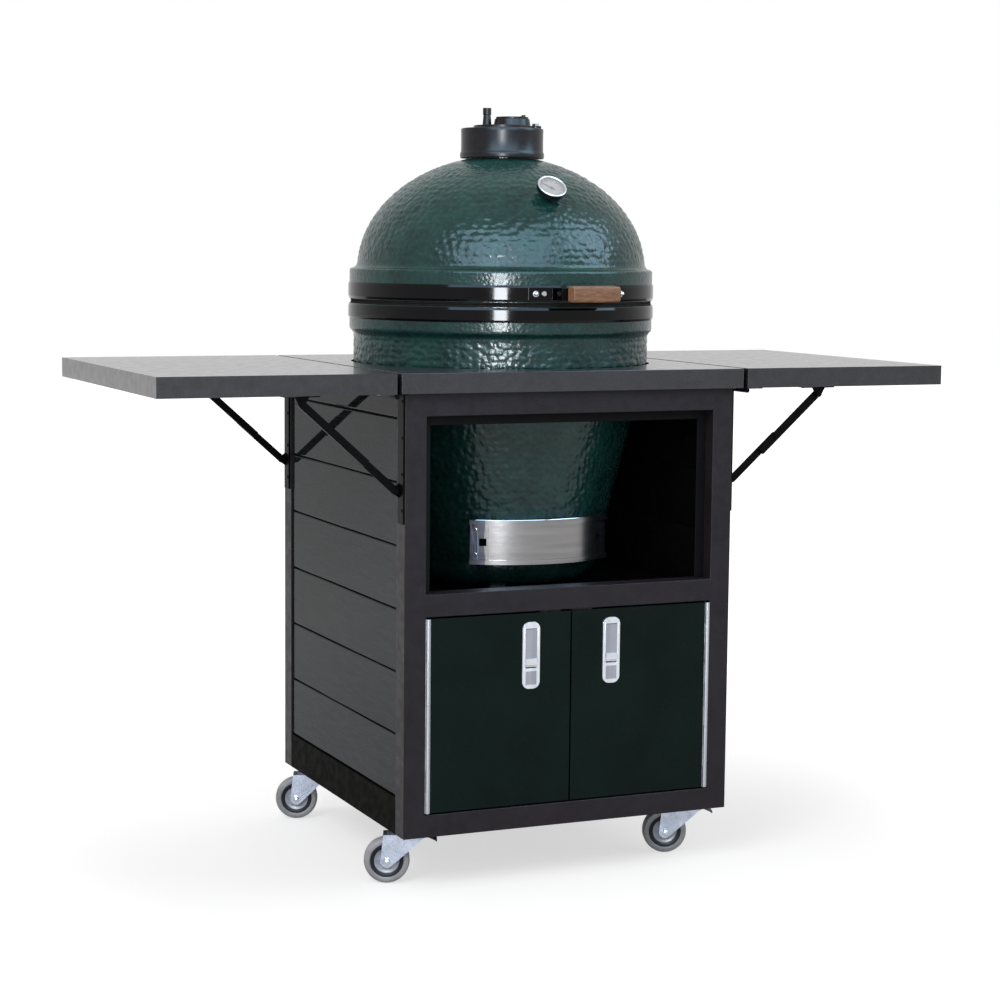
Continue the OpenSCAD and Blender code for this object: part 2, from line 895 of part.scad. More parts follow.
// Outer radius of the firebox at a height
function firebox_r(h) =
    let (low_r = hollow_r(firebox_low_h + 20) - firebox_gap - 8,
         top_r = hollow_r(firebox_top_h) - firebox_gap)
        low_r + (top_r - low_r) * (h - firebox_low_h) / (firebox_top_h - firebox_low_h);

// The firebox is one ceramic piece, drawn as a bowl and the skirt under it
module firebox() {
    bowl_low_h = firebox_floor_h - 14;
    top_r = firebox_r(firebox_top_h);
    color([0.62, 0.56, 0.48])
        at_grill()
            rotate_extrude()
                polygon([[grate_r - 14, firebox_floor_h], [grate_r - 14, bowl_low_h],
                    [firebox_r(bowl_low_h), bowl_low_h], [top_r, firebox_top_h],
                    [top_r - firebox_t, firebox_top_h],
                    [firebox_r(firebox_low_h) - firebox_t + 8, firebox_floor_h]]);
}

module firebox_skirt() {
    skirt_top_h = firebox_floor_h - 14;
    low_r = firebox_r(firebox_low_h);
    notch_w = 120;
    notch_h = 36;
    color([0.62, 0.56, 0.48])
        at_grill()
            difference() {
                rotate_extrude()
                    polygon([[low_r - firebox_t, firebox_low_h], [low_r, firebox_low_h],
                        [firebox_r(skirt_top_h), skirt_top_h], [low_r - firebox_t, skirt_top_h]]);
                translate([-notch_w / 2, -low_r - 20, firebox_low_h - eps])
                    cube([notch_w, low_r + 20, notch_h]);
            }
}

module fire_ring() {
    low_r = hollow_r(firebox_top_h) - firebox_gap;
    color([0.62, 0.56, 0.48])
        at_grill()
            rotate_extrude()
                polygon([[low_r - ring_t, firebox_top_h], [low_r, firebox_top_h],
                    [rim_in_r - 10, 10], [rim_in_r - 10, ring_top_h],
                    [rim_in_r - 10 - ring_t, ring_top_h], [rim_in_r - 10 - ring_t, 10]]);
}

module fire_grate() {
    color([0.12, 0.12, 0.12])
        at_grill()
            translate([0, 0, firebox_floor_h])
                linear_extrude(grate_t)
                    difference() {
                        circle(grate_r);
                        for (i = [-3 : 3])
                            translate([i * 22 - 5, -sqrt(pow(grate_r - 16, 2) - pow(i * 22, 2))])
                                square([10, 2 * sqrt(pow(grate_r - 16, 2) - pow(i * 22, 2))]);
                    }
}

module cooking_grid() {
    bars = floor((grid_r - 8) / grid_pitch);
    bar = 5;
    color([0.7, 0.7, 0.71])
        at_grill()
            translate([0, 0, ring_top_h])
                linear_extrude(grid_t) {
                    ring(grid_r, grid_r - 7);
                    intersection() {
                        circle(grid_r - 1);
                        for (i = [-bars : bars])
                            translate([i * grid_pitch - bar / 2, -grid_r])
                                square([bar, 2 * grid_r]);
                    }
                    translate([-grid_r + 1, -bar / 2])
                        square([2 * grid_r - 2, bar]);
                }
}

// Sector of a revolved outline, centred on the front
module front_sector(half) {
    rotate([0, 0, -90 - half])
        rotate_extrude(angle = 2 * half)
            children();
}

// Square prism pointing out to the front at an angle round the grill
module at_front(angle) {
    rotate([0, 0, angle])
        translate([0, -draft_r, 0])
            children();
}

module draft_frame() {
    low = -draft_low;
    high = low + draft_h;
    rail_r = draft_r + slide_gap + panel_t + slide_gap + draft_t;
    lip_h = 8;
    inner_r = base_low_r - 22;
    window_half = panel_half - 4;
    hole = 13;
    screw_proud = 0.4;
    color([0.72, 0.73, 0.74])
        at_grill() {
            difference() {
                union() {
                    front_sector(draft_half)
                        polygon([[inner_r, low], [draft_r - draft_t, low], [draft_r - draft_t, high],
                            [inner_r, high]]);
                    front_sector(draft_half) {
                        translate([draft_r - draft_t - 1, low])
                            square([draft_t + 1, draft_h]);
                        for (z = [low, high - draft_t])
                            translate([draft_r - draft_t, z])
                                square([rail_r - draft_r + draft_t, draft_t]);
                        translate([rail_r - draft_t, low])
                            square([draft_t, lip_h]);
                        translate([rail_r - draft_t, high - lip_h])
                            square([draft_t, lip_h]);
                    }
                }
                front_sector(window_half)
                    translate([inner_r - 1, low + draft_t])
                        square([draft_r - inner_r + 1 + eps, draft_h - 2 * draft_t]);
                front_sector(draft_half - 1.5)
                    translate([inner_r - 1, low + draft_t])
                        square([draft_r - inner_r - draft_t + 1, draft_h - 2 * draft_t]);
                for (side = [LEFT, RIGHT])
                    at_front(side * 31)
                        translate([0, 0, low + draft_h / 2])
                            cube([hole, 12, hole], center = true);
                rotate_extrude()
                    base_outline();
            }
            for (side = [LEFT, RIGHT])
                for (spot = [[34.5, 17], [34.5, draft_h - 17]])
                    at_front(side * spot[0])
                        translate([0, draft_t / 2, low + spot[1]])
                            rod_y(5, draft_t + screw_proud);
        }
}

module draft_door() {
    low = -draft_low + draft_t + slide_gap;
    high = -draft_low + draft_h - draft_t - slide_gap;
    color([0.76, 0.77, 0.78])
        at_grill()
            front_sector(panel_half)
                translate([draft_r + slide_gap, low])
                    square([panel_t, high - low]);
}

// Points on the dome's ellipse, in from a distance
function dome_arc(inset, from, to) =
    let (steps = max(4, round(abs(to - from) / 3)))
        [for (i = [0 : steps])
            let (a = from + (to - from) * i / steps)
            [(dome_r - inset) * cos(a), dome_mid_h + (dome_rise - inset) * sin(a)]];

// Angle on the dome's ellipse, in from a distance, at a height above the table top
function dome_angle(inset, h) = asin((h - dome_mid_h) / (dome_rise - inset));

// The dome is one ceramic piece, drawn as three rings
module dome_shell() {
    start = 3.5;
    color([0.14, 0.28, 0.26])
        at_grill()
            rotate_extrude()
                polygon(concat(
                    [[rim_in_r, dome_low_h], [rim_r, dome_low_h], [rim_r, rim_high_h - 4],
                        [rim_r - 4, rim_high_h + 1]],
                    dome_arc(0, start, dome_angle(0, shoulder_h)),
                    dome_arc(ceramic_t, dome_angle(ceramic_t, shoulder_h), start),
                    [[rim_in_r, rim_high_h]]));
}

module dome_shoulder() {
    color([0.14, 0.28, 0.26])
        at_grill()
            difference() {
                rotate_extrude()
                    polygon(concat(
                        dome_arc(0, dome_angle(0, shoulder_h), dome_angle(0, crown_h)),
                        dome_arc(ceramic_t, dome_angle(ceramic_t, crown_h),
                            dome_angle(ceramic_t, shoulder_h))));
                gauge_frame()
                    translate([0, 0, -2 * ceramic_t])
                        cylinder(d = probe_d, h = 3 * ceramic_t);
            }
}

module dome_crown() {
    bore_angle = acos(neck_bore_r / (dome_r - ceramic_t));
    color([0.14, 0.28, 0.26])
        at_grill()
            rotate_extrude()
                polygon(concat(
                    dome_arc(0, dome_angle(0, crown_h), neck_angle),
                    [[neck_r, neck_top_h], [neck_bore_r, neck_top_h]],
                    dome_arc(ceramic_t, bore_angle, dome_angle(ceramic_t, crown_h))));
}

module dome_gasket() {
    color([0.55, 0.54, 0.5])
        at_grill()
            translate([0, 0, dome_low_h - gasket_t])
                linear_extrude(gasket_t)
                    ring(rim_r - 1, rim_r - 1 - gasket_w);
}

module dome_band() {
    arm_low = dome_band_low;
    arm_high = dome_band_low + dome_band_h;
    color([0.05, 0.05, 0.06])
        at_grill()
            difference() {
                union() {
                    band(dome_band_low, dome_band_h);
                    for (side = [LEFT, RIGHT])
                        on_side(side)
                            translate([arm_in, 0, 0])
                                rotate([90, 0, 90])
                                    linear_extrude(hinge_plate_t) {
                                        polygon([[rim_r - 4, arm_low], [hinge_back, hinge_h - eye_r],
                                            [hinge_back + 6, hinge_h + eye_r - 2], [rim_r - 4, arm_high]]);
                                        translate([hinge_back, hinge_h])
                                            circle(eye_r);
                                    }
                    translate([-arm_in - 1, rim_r, arm_high - 6])
                        cube([2 * arm_in + 2, tie_bar_d, 4]);
                }
                translate([0, 0, arm_low - 20])
                    cylinder(r = rim_r, h = arm_high - arm_low + 40);
                translate([0, hinge_back, hinge_h])
                    rod_x(hinge_shaft_d + 2 * pin_gap, 6 * hinge_half);
            }
}

// Moves the children to a spot on the dome band, pointing outwards
module at_band(angle, r) {
    rotate([0, 0, handle_turn + angle])
        translate([0, -r, dome_band_low + dome_band_h / 2])
            rotate([90, 0, 0])
                children();
}

module band_bolts() {
    foot_r = bracket_out_r + seat_gap;
    color([0.8, 0.81, 0.83])
        at_grill() {
            for (side = [LEFT, RIGHT]) {
                at_band(side * 15, foot_r)
                    cylinder(d = 9, h = 2.5);
                at_band(side * 18, foot_r) {
                    cylinder(d = 10, h = 4, $fn = 6);
                    cylinder(d = 6, h = 7);
                }
            }
            translate([cap_pivot[0], cap_pivot[1], vent_low_h + vent_t + slide_gap])
                cylinder(d = cap_pin_d + 6, h = 4, $fn = 6);
        }
}

module handle_bracket() {
    foot_angle = 20.5;
    steps = 6;
    in_angle = asin((bracket_half - bracket_t) / bracket_in_r);
    out_angle = asin(bracket_half / bracket_out_r);
    right = concat(
        [[bracket_half, -bracket_reach]],
        [for (i = [0 : steps])
            let (a = out_angle + (foot_angle - out_angle) * i / steps)
                bracket_out_r * [sin(a), -cos(a)]],
        [for (i = [0 : steps])
            let (a = foot_angle + (in_angle - foot_angle) * i / steps)
                bracket_in_r * [sin(a), -cos(a)]],
        [[bracket_half - bracket_t, bracket_t - bracket_reach]]);
    left = [for (i = [len(right) - 1 : -1 : 0]) [-right[i][0], right[i][1]]];
    color([0.05, 0.05, 0.06])
        at_grill()
            rotate([0, 0, handle_turn])
                translate([0, 0, dome_band_low + (dome_band_h - bracket_h) / 2])
                    linear_extrude(bracket_h)
                        polygon(concat(right, left));
}

module handle_grip() {
    color([0.76, 0.61, 0.5])
        at_grill()
            rotate([0, 0, handle_turn])
                translate([0, -bracket_reach - grip_d / 2, dome_band_low + (dome_band_h - grip_h) / 2])
                    linear_extrude(grip_h)
                        rounded(grip_l, grip_d, 3);
}

// Frame of the thermometer: Z points out of the dome from its seat
module gauge_frame() {
    translate([0, -gauge_r0, gauge_h])
        rotate([90 - gauge_tilt, 0, 0])
            children();
}

module thermometer_case() {
    rim_z = gauge_stem + gauge_t;
    color([0.6, 0.61, 0.62])
        at_grill()
            gauge_frame()
                difference() {
                    union() {
                        translate([0, 0, gauge_stem])
                            cylinder(r = gauge_r, h = gauge_t);
                        translate([0, 0, slide_gap])
                            cylinder(d = probe_d + 8, h = gauge_stem);
                        translate([0, 0, -ceramic_t - 4])
                            cylinder(d = probe_d - 2 * slide_gap, h = ceramic_t + 6);
                        translate([0, 0, -probe_l])
                            cylinder(d = probe_d - 4, h = probe_l);
                    }
                    translate([0, 0, gauge_stem + gauge_wall])
                        cylinder(r = gauge_r - gauge_wall, h = gauge_t - gauge_wall - 1.5);
                    translate([0, 0, rim_z - 2])
                        cylinder(r = gauge_r - gauge_wall - 1, h = 3);
                    translate([0, 0, dial_at - 30])
                        cylinder(r = 1, h = 1);
                }
}

module thermometer_dial() {
    seat = gauge_stem + gauge_wall;
    color([0.9, 0.9, 0.88])
        at_grill()
            gauge_frame() {
                translate([0, 0, seat])
                    cylinder(r = gauge_r - gauge_wall, h = dial_at + dial_t - seat);
                translate([0, 0, dial_at])
                    cylinder(r = 1, h = dial_t + 2.2);
            }
}

module thermometer_lens() {
    color([0.85, 0.9, 0.92, 0.4])
        at_grill()
            gauge_frame()
                translate([0, 0, lens_at])
                    cylinder(r = gauge_r - gauge_wall, h = lens_t);
}

module thermometer_needle() {
    len = gauge_r - gauge_wall - 5;
    color([0.1, 0.1, 0.1])
        at_grill()
            gauge_frame()
                translate([0, 0, dial_at + dial_t + slide_gap])
                    difference() {
                        union() {
                            cylinder(r = 3, h = 1.4);
                            rotate([0, 0, 140])
                                linear_extrude(0.8)
                                    polygon([[-6, -1.2], [len, -0.3], [len, 0.3], [-6, 1.2]]);
                        }
                        translate([0, 0, -eps])
                            cylinder(r = 1 + pin_gap, h = 3, $fn = 24);
                    }
}

module cap_ring() {
    color([0.13, 0.12, 0.14])
        at_grill() {
            difference() {
                rotate_extrude()
                    polygon([[neck_r + 1, cap_low_h], [cap_r - 1.5, cap_low_h], [cap_r, cap_low_h + 2],
                        [cap_r, cap_low_h + 8], [cap_top_r, cap_low_h + 12],
                        [cap_top_r, cap_top_h - 2], [cap_top_r - 2, cap_top_h],
                        [neck_bore_r, cap_top_h], [neck_bore_r, cap_top_h - cap_deck_t],
                        [neck_r + 1, cap_top_h - cap_deck_t]]);
            }
            translate([cap_pivot[0], cap_pivot[1], cap_top_h - 1])
                cylinder(d = cap_pin_d, h = vent_t + 2 * slide_gap + 1);
        }
}

module petals(count, at_r, r) {
    for (i = [0 : count - 1])
        rotate([0, 0, i * 360 / count])
            translate([at_r, 0])
                circle(r);
}

module at_daisy() {
    translate([daisy_at[0], daisy_at[1], 0])
        children();
}

module vent_plate() {
    ear_r = 10;
    color([0.15, 0.14, 0.16])
        at_grill()
            difference() {
                union() {
                    translate([0, 0, vent_low_h])
                        linear_extrude(vent_t) {
                            circle(vent_r);
                            translate(cap_pivot)
                                circle(ear_r);
                        }
                    at_daisy()
                        rotate_extrude()
                            polygon([[0, vent_low_h + 1], [vent_foot_r, vent_low_h + 1],
                                [vent_foot_r, vent_low_h + vent_t], [vent_top_r, vent_top_h], [0, vent_top_h]]);
                    translate([cap_knob[0], cap_knob[1], vent_low_h + 1])
                        cylinder(d1 = 17, d2 = 13, h = knob_h - 8);
                    translate([cap_knob[0], cap_knob[1], vent_low_h + knob_h - 8])
                        cylinder(d = 15, h = 12);
                    at_daisy()
                        translate([0, 0, vent_top_h - 1])
                            cylinder(d = daisy_pin_d, h = daisy_t + slide_gap + 1);
                }
                at_daisy() {
                    rotate_extrude()
                        polygon([[0, vent_low_h - eps], [vent_foot_r - 5, vent_low_h - eps],
                            [vent_top_r - 6, vent_top_h - 4], [0, vent_top_h - 4]]);
                    translate([0, 0, vent_top_h - 6])
                        linear_extrude(6 + eps)
                            petals(daisy_holes, hole_ring_r, hole_r);
                }
                translate([cap_pivot[0], cap_pivot[1], vent_low_h - eps])
                    cylinder(d = cap_pin_d + 2 * pin_gap, h = 4 * vent_t);
            }
}

module daisy_wheel() {
    color([0.15, 0.14, 0.16])
        at_grill()
            translate([daisy_at[0], daisy_at[1], vent_top_h + slide_gap])
                difference() {
                    union() {
                        linear_extrude(daisy_t)
                            difference() {
                                circle(daisy_r);
                                rotate([0, 0, 180 / daisy_holes])
                                    petals(daisy_holes, hole_ring_r, hole_r);
                            }
                        for (a = [-60, 20])
                            rotate([0, 0, a])
                                translate([daisy_r - 4, 0, 0])
                                    cylinder(d = 7, h = daisy_t + 3);
                    }
                    translate([0, 0, -eps])
                        cylinder(d = daisy_pin_d + 2 * pin_gap, h = 3 * daisy_t);
                }
}

// One door on the right
module door() {
    x0 = door_gap / 2;
    y0 = front_y + door_face;
    cup_x = latch_x - cup_w / 2;
    cup_z = cup_top_z - cup_h;
    difference() {
        translate([x0, y0, door_low_z])
            cube([door_w - door_leaf_t, door_t, door_h]);
        translate([x0 + door_skin, y0 + door_skin, door_low_z + door_skin])
            cube([door_w - door_leaf_t - 2 * door_skin, door_t, door_h - 2 * door_skin]);
        translate([cup_x, y0 - eps, cup_z])
            cube([cup_w, door_skin + 2 * eps, cup_h]);
    }
    translate([x0 + door_skin, y0 + door_t - door_skin, door_low_z + door_skin])
        cube([door_w - door_leaf_t - 2 * door_skin, door_skin, door_h - 2 * door_skin]);
    difference() {
        union() {
            translate([door_edge_x - door_leaf_t, front_y, door_low_z])
                cube([door_leaf_t, door_t, door_h]);
            for (i = [1 : 2 : door_knuckles - 2])
                translate([0, front_y, door_low_z + i * knuckle_h + slide_gap / 2]) {
                    translate([door_axis_x, 0, 0])
                        cylinder(r = door_barrel_r, h = knuckle_h - slide_gap, $fn = 32);
                    translate([door_edge_x - door_leaf_t, 0, 0])
                        cube([door_axis_x - door_edge_x + door_leaf_t, door_barrel_r, knuckle_h - slide_gap]);
                }
        }
        translate([door_axis_x, front_y, door_low_z - eps])
            cylinder(d = door_pin_d + 2 * pin_gap, h = door_h + 2 * eps, $fn = 24);
    }
    latch_body();
}

module latch_body() {
    cup_x = latch_x - cup_w / 2;
    cup_z = cup_top_z - cup_h;
    mid_z = latch_top_z - latch_h / 2;
    difference() {
        union() {
            translate([latch_x, latch_face_y + latch_t, mid_z])
                rotate([90, 0, 0])
                    linear_extrude(latch_t)
                        rounded(latch_w, latch_h, 0.38 * latch_w);
            translate([cup_x, latch_face_y + latch_t - 0.5, cup_z])
                cube([cup_w, cup_depth, cup_h]);
        }
        translate([cup_x + cup_wall, latch_face_y - eps, cup_z + cup_wall])
            cube([cup_w - 2 * cup_wall, cup_depth + latch_t - cup_wall - 0.5, cup_h - 2 * cup_wall]);
        translate([latch_x, paddle_axis_y, paddle_axis_z])
            rod_x(paddle_pin_d + 2 * pin_gap, cup_w - 1);
    }
}

module left_door() {
    color([0.09, 0.14, 0.13])
        on_side(LEFT)
            door();
}

module right_door() {
    color([0.09, 0.14, 0.13])
        on_side(RIGHT)
            door();
}

// Paddle on the right, with a curved pull
module paddle() {
    low = latch_top_z - paddle_drop - paddle_h;
    pull_r = 8;
    color([0.8, 0.81, 0.82])
        translate([latch_x, 0, 0]) {
            difference() {
                union() {
                    translate([-paddle_w / 2, latch_face_y, low])
                        cube([paddle_w, paddle_t, paddle_h]);
                    translate([-paddle_w / 2, paddle_axis_y - paddle_pin_d / 2, paddle_axis_z - paddle_pin_d / 2])
                        cube([paddle_w, paddle_pin_d, paddle_pin_d]);
                    translate([0, latch_face_y + paddle_t, low + pull_r])
                        rod_x(2 * pull_r - 2, paddle_w);
                }
                translate([-paddle_w, latch_face_y - 20, low - 5])
                    cube([2 * paddle_w, 20 - 2, paddle_h]);
            }
            translate([0, paddle_axis_y, paddle_axis_z])
                rod_x(paddle_pin_d, cup_w - 1.4);
        }
}

module left_paddle() {
    on_side(LEFT)
        paddle();
}

module right_paddle() {
    on_side(RIGHT)
        paddle();
}

// One shelf on the right
module shelf() {
    leaf_w = 26;
    difference() {
        translate([hinge_x, top_y, under_z])
            cube([shelf_l, top_d, top_t]);
        translate([hinge_x + sheet_t, top_y + sheet_t, under_z - eps])
            cube([shelf_l - 2 * sheet_t, top_d - 2 * sheet_t, top_t - sheet_t + eps]);
    }
    translate([hinge_x + sheet_t, top_y + sheet_t, under_z])
        cube([shelf_l - 2 * sheet_t, top_d - 2 * sheet_t, cover_t]);
    difference() {
        union() {
            translate([hinge_x + shelf_barrel_r + slide_gap, top_y, under_z - shelf_leaf_t])
                cube([leaf_w, top_d, shelf_leaf_t]);
            for (i = [1 : 2 : shelf_knuckles - 2])
                translate([0, top_y + i * shelf_knuckle + slide_gap / 2, 0]) {
                    translate([hinge_x, (shelf_knuckle - slide_gap) / 2, hinge_z])
                        rod_y(2 * shelf_barrel_r, shelf_knuckle - slide_gap);
                    translate([hinge_x, 0, under_z - shelf_leaf_t])
                        cube([shelf_barrel_r + slide_gap + 1, shelf_knuckle - slide_gap, shelf_leaf_t]);
                }
        }
        translate([hinge_x, top_y + top_d / 2, hinge_z])
            rod_y(shelf_pin_d + 2 * pin_gap, top_d + 2);
    }
    for (y = [front_brace_y, rear_brace_y])
        shelf_bracket(y);
}

// Bracket under a shelf
module shelf_bracket(y) {
    pivot_x = hinge_x + shelf_pivot_u;
    pivot_z = hinge_z + shelf_pivot_w;
    foot_z = under_z - brace_rail_t + 1;
    pin_l = upper_t + slide_gap + ear_t;
    translate([pivot_x - shelf_rail_l / 2, y - brace_rail_w / 2, under_z - brace_rail_t])
        cube([shelf_rail_l, brace_rail_w, brace_rail_t]);
    translate([0, y - slide_gap - upper_t - slide_gap - ear_t / 2, 0])
        rotate([90, 0, 0])
            linear_extrude(ear_t, center = true) {
                translate([pivot_x, pivot_z])
                    circle(link_w / 2);
                polygon([[pivot_x - link_w, foot_z], [pivot_x - link_w / 2, pivot_z],
                    [pivot_x + link_w / 2, pivot_z], [pivot_x + link_w, foot_z]]);
            }
    translate([pivot_x, y - slide_gap - pin_l / 2, pivot_z])
        rod_y(pivot_d, pin_l);
    translate([pivot_x, y - slide_gap - pin_l - rivet_t / 2, pivot_z])
        rod_y(rivet_d, rivet_t);
}

module left_shelf() {
    color([0.33, 0.31, 0.33])
        on_side(LEFT)
            shelf();
}

module right_shelf() {
    color([0.33, 0.31, 0.33])
        on_side(RIGHT)
            shelf();
}

// Lower link on the right, up to the elbow
module lower_link(y) {
    color([0.07, 0.07, 0.07])
        translate([hinge_x + wall_u, y + slide_gap + lower_t / 2, hinge_z - brace_drop])
            rotate([0, -brace_angle, 0])
                rotate([90, 0, 0])
                    linear_extrude(lower_t, center = true)
                        difference() {
                            union() {
                                circle(link_w / 2);
                                translate([0, -link_w / 2])
                                    square([link_l, link_w]);
                                translate([link_l, 0])
                                    circle(link_w / 2);
                            }
                            circle(pivot_d / 2 + pin_gap);
                        }
}

// Upper link on the right, a channel past the elbow
module upper_link(y) {
    full = link_l + overrun;
    web = 2;
    color([0.07, 0.07, 0.07])
        translate([hinge_x + shelf_pivot_u, y - slide_gap - upper_t / 2, hinge_z + shelf_pivot_w])
            rotate([0, 180 - brace_angle, 0])
                rotate([90, 0, 0]) {
                    difference() {
                        linear_extrude(upper_t, center = true)
                            difference() {
                                union() {
                                    circle(link_w / 2);
                                    translate([0, -link_w / 2])
                                        square([full, link_w]);
                                }
                                circle(pivot_d / 2 + pin_gap);
                            }
                        translate([link_w / 2, -link_w / 2 + channel_t, -upper_t / 2 - eps])
                            cube([full, link_w - 2 * channel_t, upper_t - web]);
                    }
                    translate([link_l, 0, upper_t / 2])
                        cylinder(d = rivet_d, h = rivet_t);
                }
}

module front_left_lower_link() {
    on_side(LEFT)
        lower_link(front_brace_y);
}

module rear_left_lower_link() {
    on_side(LEFT)
        lower_link(rear_brace_y);
}

module front_right_lower_link() {
    on_side(RIGHT)
        lower_link(front_brace_y);
}

module rear_right_lower_link() {
    on_side(RIGHT)
        lower_link(rear_brace_y);
}

module front_left_upper_link() {
    on_side(LEFT)
        upper_link(front_brace_y);
}

module rear_left_upper_link() {
    on_side(LEFT)
        upper_link(rear_brace_y);
}

module front_right_upper_link() {
    on_side(RIGHT)
        upper_link(front_brace_y);
}

module rear_right_upper_link() {
    on_side(RIGHT)
        upper_link(rear_brace_y);
}

// Fork drawn at its swivel axis, with the wheel trailing to the left
module fork(braked) {
    leg_top = deck_z + fork_t;
    front_x = braked ? pedal_axis_x : crown_r - 2;
    color([0.72, 0.73, 0.75]) {
        difference() {
            union() {
                translate([0, 0, crown_z - crown_t])
                    cylinder(r = crown_r - 3, h = crown_t);
                translate([0, 0, deck_z])
                    linear_extrude(fork_t) {
                        circle(crown_r);
                        translate([-trail - 6, -leg_y - fork_t])
                            square([trail + 6, 2 * (leg_y + fork_t)]);
                    }
                for (s = [-1, 1])
                    translate([0, s * (leg_y + fork_t / 2), 0])
                        rotate([90, 0, 0])
                            linear_extrude(fork_t, center = true) {
                                translate([-trail, wheel_r])
                                    circle(11);
                                polygon([[-trail - 11, wheel_r], [-trail - 6, leg_top],
                                    [front_x, leg_top], [front_x, leg_top - 6],
                                    [-trail + 7.8, wheel_r - 7.8]]);
                                if (braked)
                                    translate([pedal_axis_x, deck_z + fork_t / 2])
                                        circle(4.5);
                            }
            }
            translate([0, 0, deck_z - eps])
                cylinder(d = kingpin_d + 2 * pin_gap, h = crown_t + fork_t + 2 * eps);
            if (braked)
                translate([pedal_axis_x, 0, deck_z + fork_t / 2])
                    rod_y(pedal_pin_d + 2 * pin_gap, 3 * leg_y);
        }
        translate([-trail, 0, wheel_r]) {
            rod_y(axle_d, 2 * (leg_y + fork_t));
            for (s = [-1, 1])
                translate([0, s * (leg_y + fork_t + 2), 0])
                    rotate([90, 0, 0])
                        cylinder(d = axle_d + 5, h = 4, center = true, $fn = 6);
        }
    }
}

module front_left_fork() {
    place_caster(LEFT, FRONT)
        fork(true);
}

module front_right_fork() {
    place_caster(RIGHT, FRONT)
        fork(true);
}

module rear_left_fork() {
    place_caster(LEFT, REAR)
        fork(false);
}

module rear_right_fork() {
    place_caster(RIGHT, REAR)
        fork(false);
}

// Wheel with its tyre, drawn at its fork's swivel axis
module wheel() {
    hub_r = 27;
    translate([-trail, 0, wheel_r])
        rotate([90, 0, 0]) {
            color([0.6, 0.61, 0.64])
                difference() {
                    union() {
                        cylinder(r = hub_r, h = wheel_w - 4, center = true);
                        cylinder(r = 12, h = wheel_w + 2, center = true);
                    }
                    cylinder(d = axle_d + 2 * pin_gap, h = 2 * wheel_w, center = true);
                }
            color([0.5, 0.49, 0.51])
                rotate_extrude()
                    polygon([[hub_r, -wheel_w / 2 + 2], [hub_r + 3, -wheel_w / 2], [wheel_r - 3, -wheel_w / 2],
                        [wheel_r - 0.8, -wheel_w / 2 + 3], [wheel_r, 0], [wheel_r - 0.8, wheel_w / 2 - 3],
                        [wheel_r - 3, wheel_w / 2], [hub_r + 3, wheel_w / 2], [hub_r, wheel_w / 2 - 2]]);
        }
}

module front_left_wheel() {
    place_caster(LEFT, FRONT)
        wheel();
}

module front_right_wheel() {
    place_caster(RIGHT, FRONT)
        wheel();
}

module rear_left_wheel() {
    place_caster(LEFT, REAR)
        wheel();
}

module rear_right_wheel() {
    place_caster(RIGHT, REAR)
        wheel();
}

// Brake pedal on the fork's leading end, sloping down and out
module pedal() {
    slope = 24;
    color([0.1, 0.1, 0.1])
        translate([pedal_axis_x, 0, deck_z + fork_t / 2]) {
            rod_y(pedal_pin_d, 2 * (leg_y + fork_t));
            rotate([0, slope, 0]) {
                difference() {
                    translate([-4, -pedal_w / 2, -pedal_t / 2])
                        cube([pedal_l + 4, pedal_w, pedal_t]);
                    translate([-6, -pedal_w / 2 - eps, -pedal_t])
                        cube([3, pedal_w + 2 * eps, 2 * pedal_t]);
                }
                translate([pedal_l, 0, 0])
                    rod_y(pedal_t + 2, pedal_w);
            }
        }
}

module left_pedal() {
    place_caster(LEFT, FRONT)
        pedal();
}

module right_pedal() {
    place_caster(RIGHT, FRONT)
        pedal();
}

front_frame();
rear_frame();
side_rails();
window_lip();
side_planks();
back_planks();
floor_panel();
grill_shelf();
centre_top();
door_hinges();
shelf_hinges();
brace_rails();
caster_plates();
grill_feet();
base_shell();
base_cup();
base_floor();
base_gasket();
base_band();
firebox();
firebox_skirt();
fire_ring();
fire_grate();
cooking_grid();
draft_frame();
dome_shell();
dome_shoulder();
dome_crown();
dome_gasket();
dome_band();
band_bolts();
handle_bracket();
handle_grip();
thermometer_case();
thermometer_dial();
thermometer_lens();
thermometer_needle();
cap_ring();
vent_plate();
daisy_wheel();
draft_door();
left_door();
right_door();
left_paddle();
right_paddle();
left_shelf();
right_shelf();
front_left_lower_link();
rear_left_lower_link();
front_right_lower_link();
rear_right_lower_link();
front_left_upper_link();
rear_left_upper_link();
front_right_upper_link();
rear_right_upper_link();
front_left_fork();
front_right_fork();
rear_left_fork();
rear_right_fork();
front_left_wheel();
front_right_wheel();
rear_left_wheel();
rear_right_wheel();
left_pedal();
right_pedal();
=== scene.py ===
"""Looks of a grill cart: a glazed ceramic grill in a coated steel cart with folding side shelves.

Lengths in the classes are in millimetres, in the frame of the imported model: the origin is on the
floor in the middle of the object, Z is up and the doors face -Y.
"""

import logging
import math
from dataclasses import dataclass, field, replace
from enum import Enum
from functools import cache
from typing import Callable, Optional, Sequence

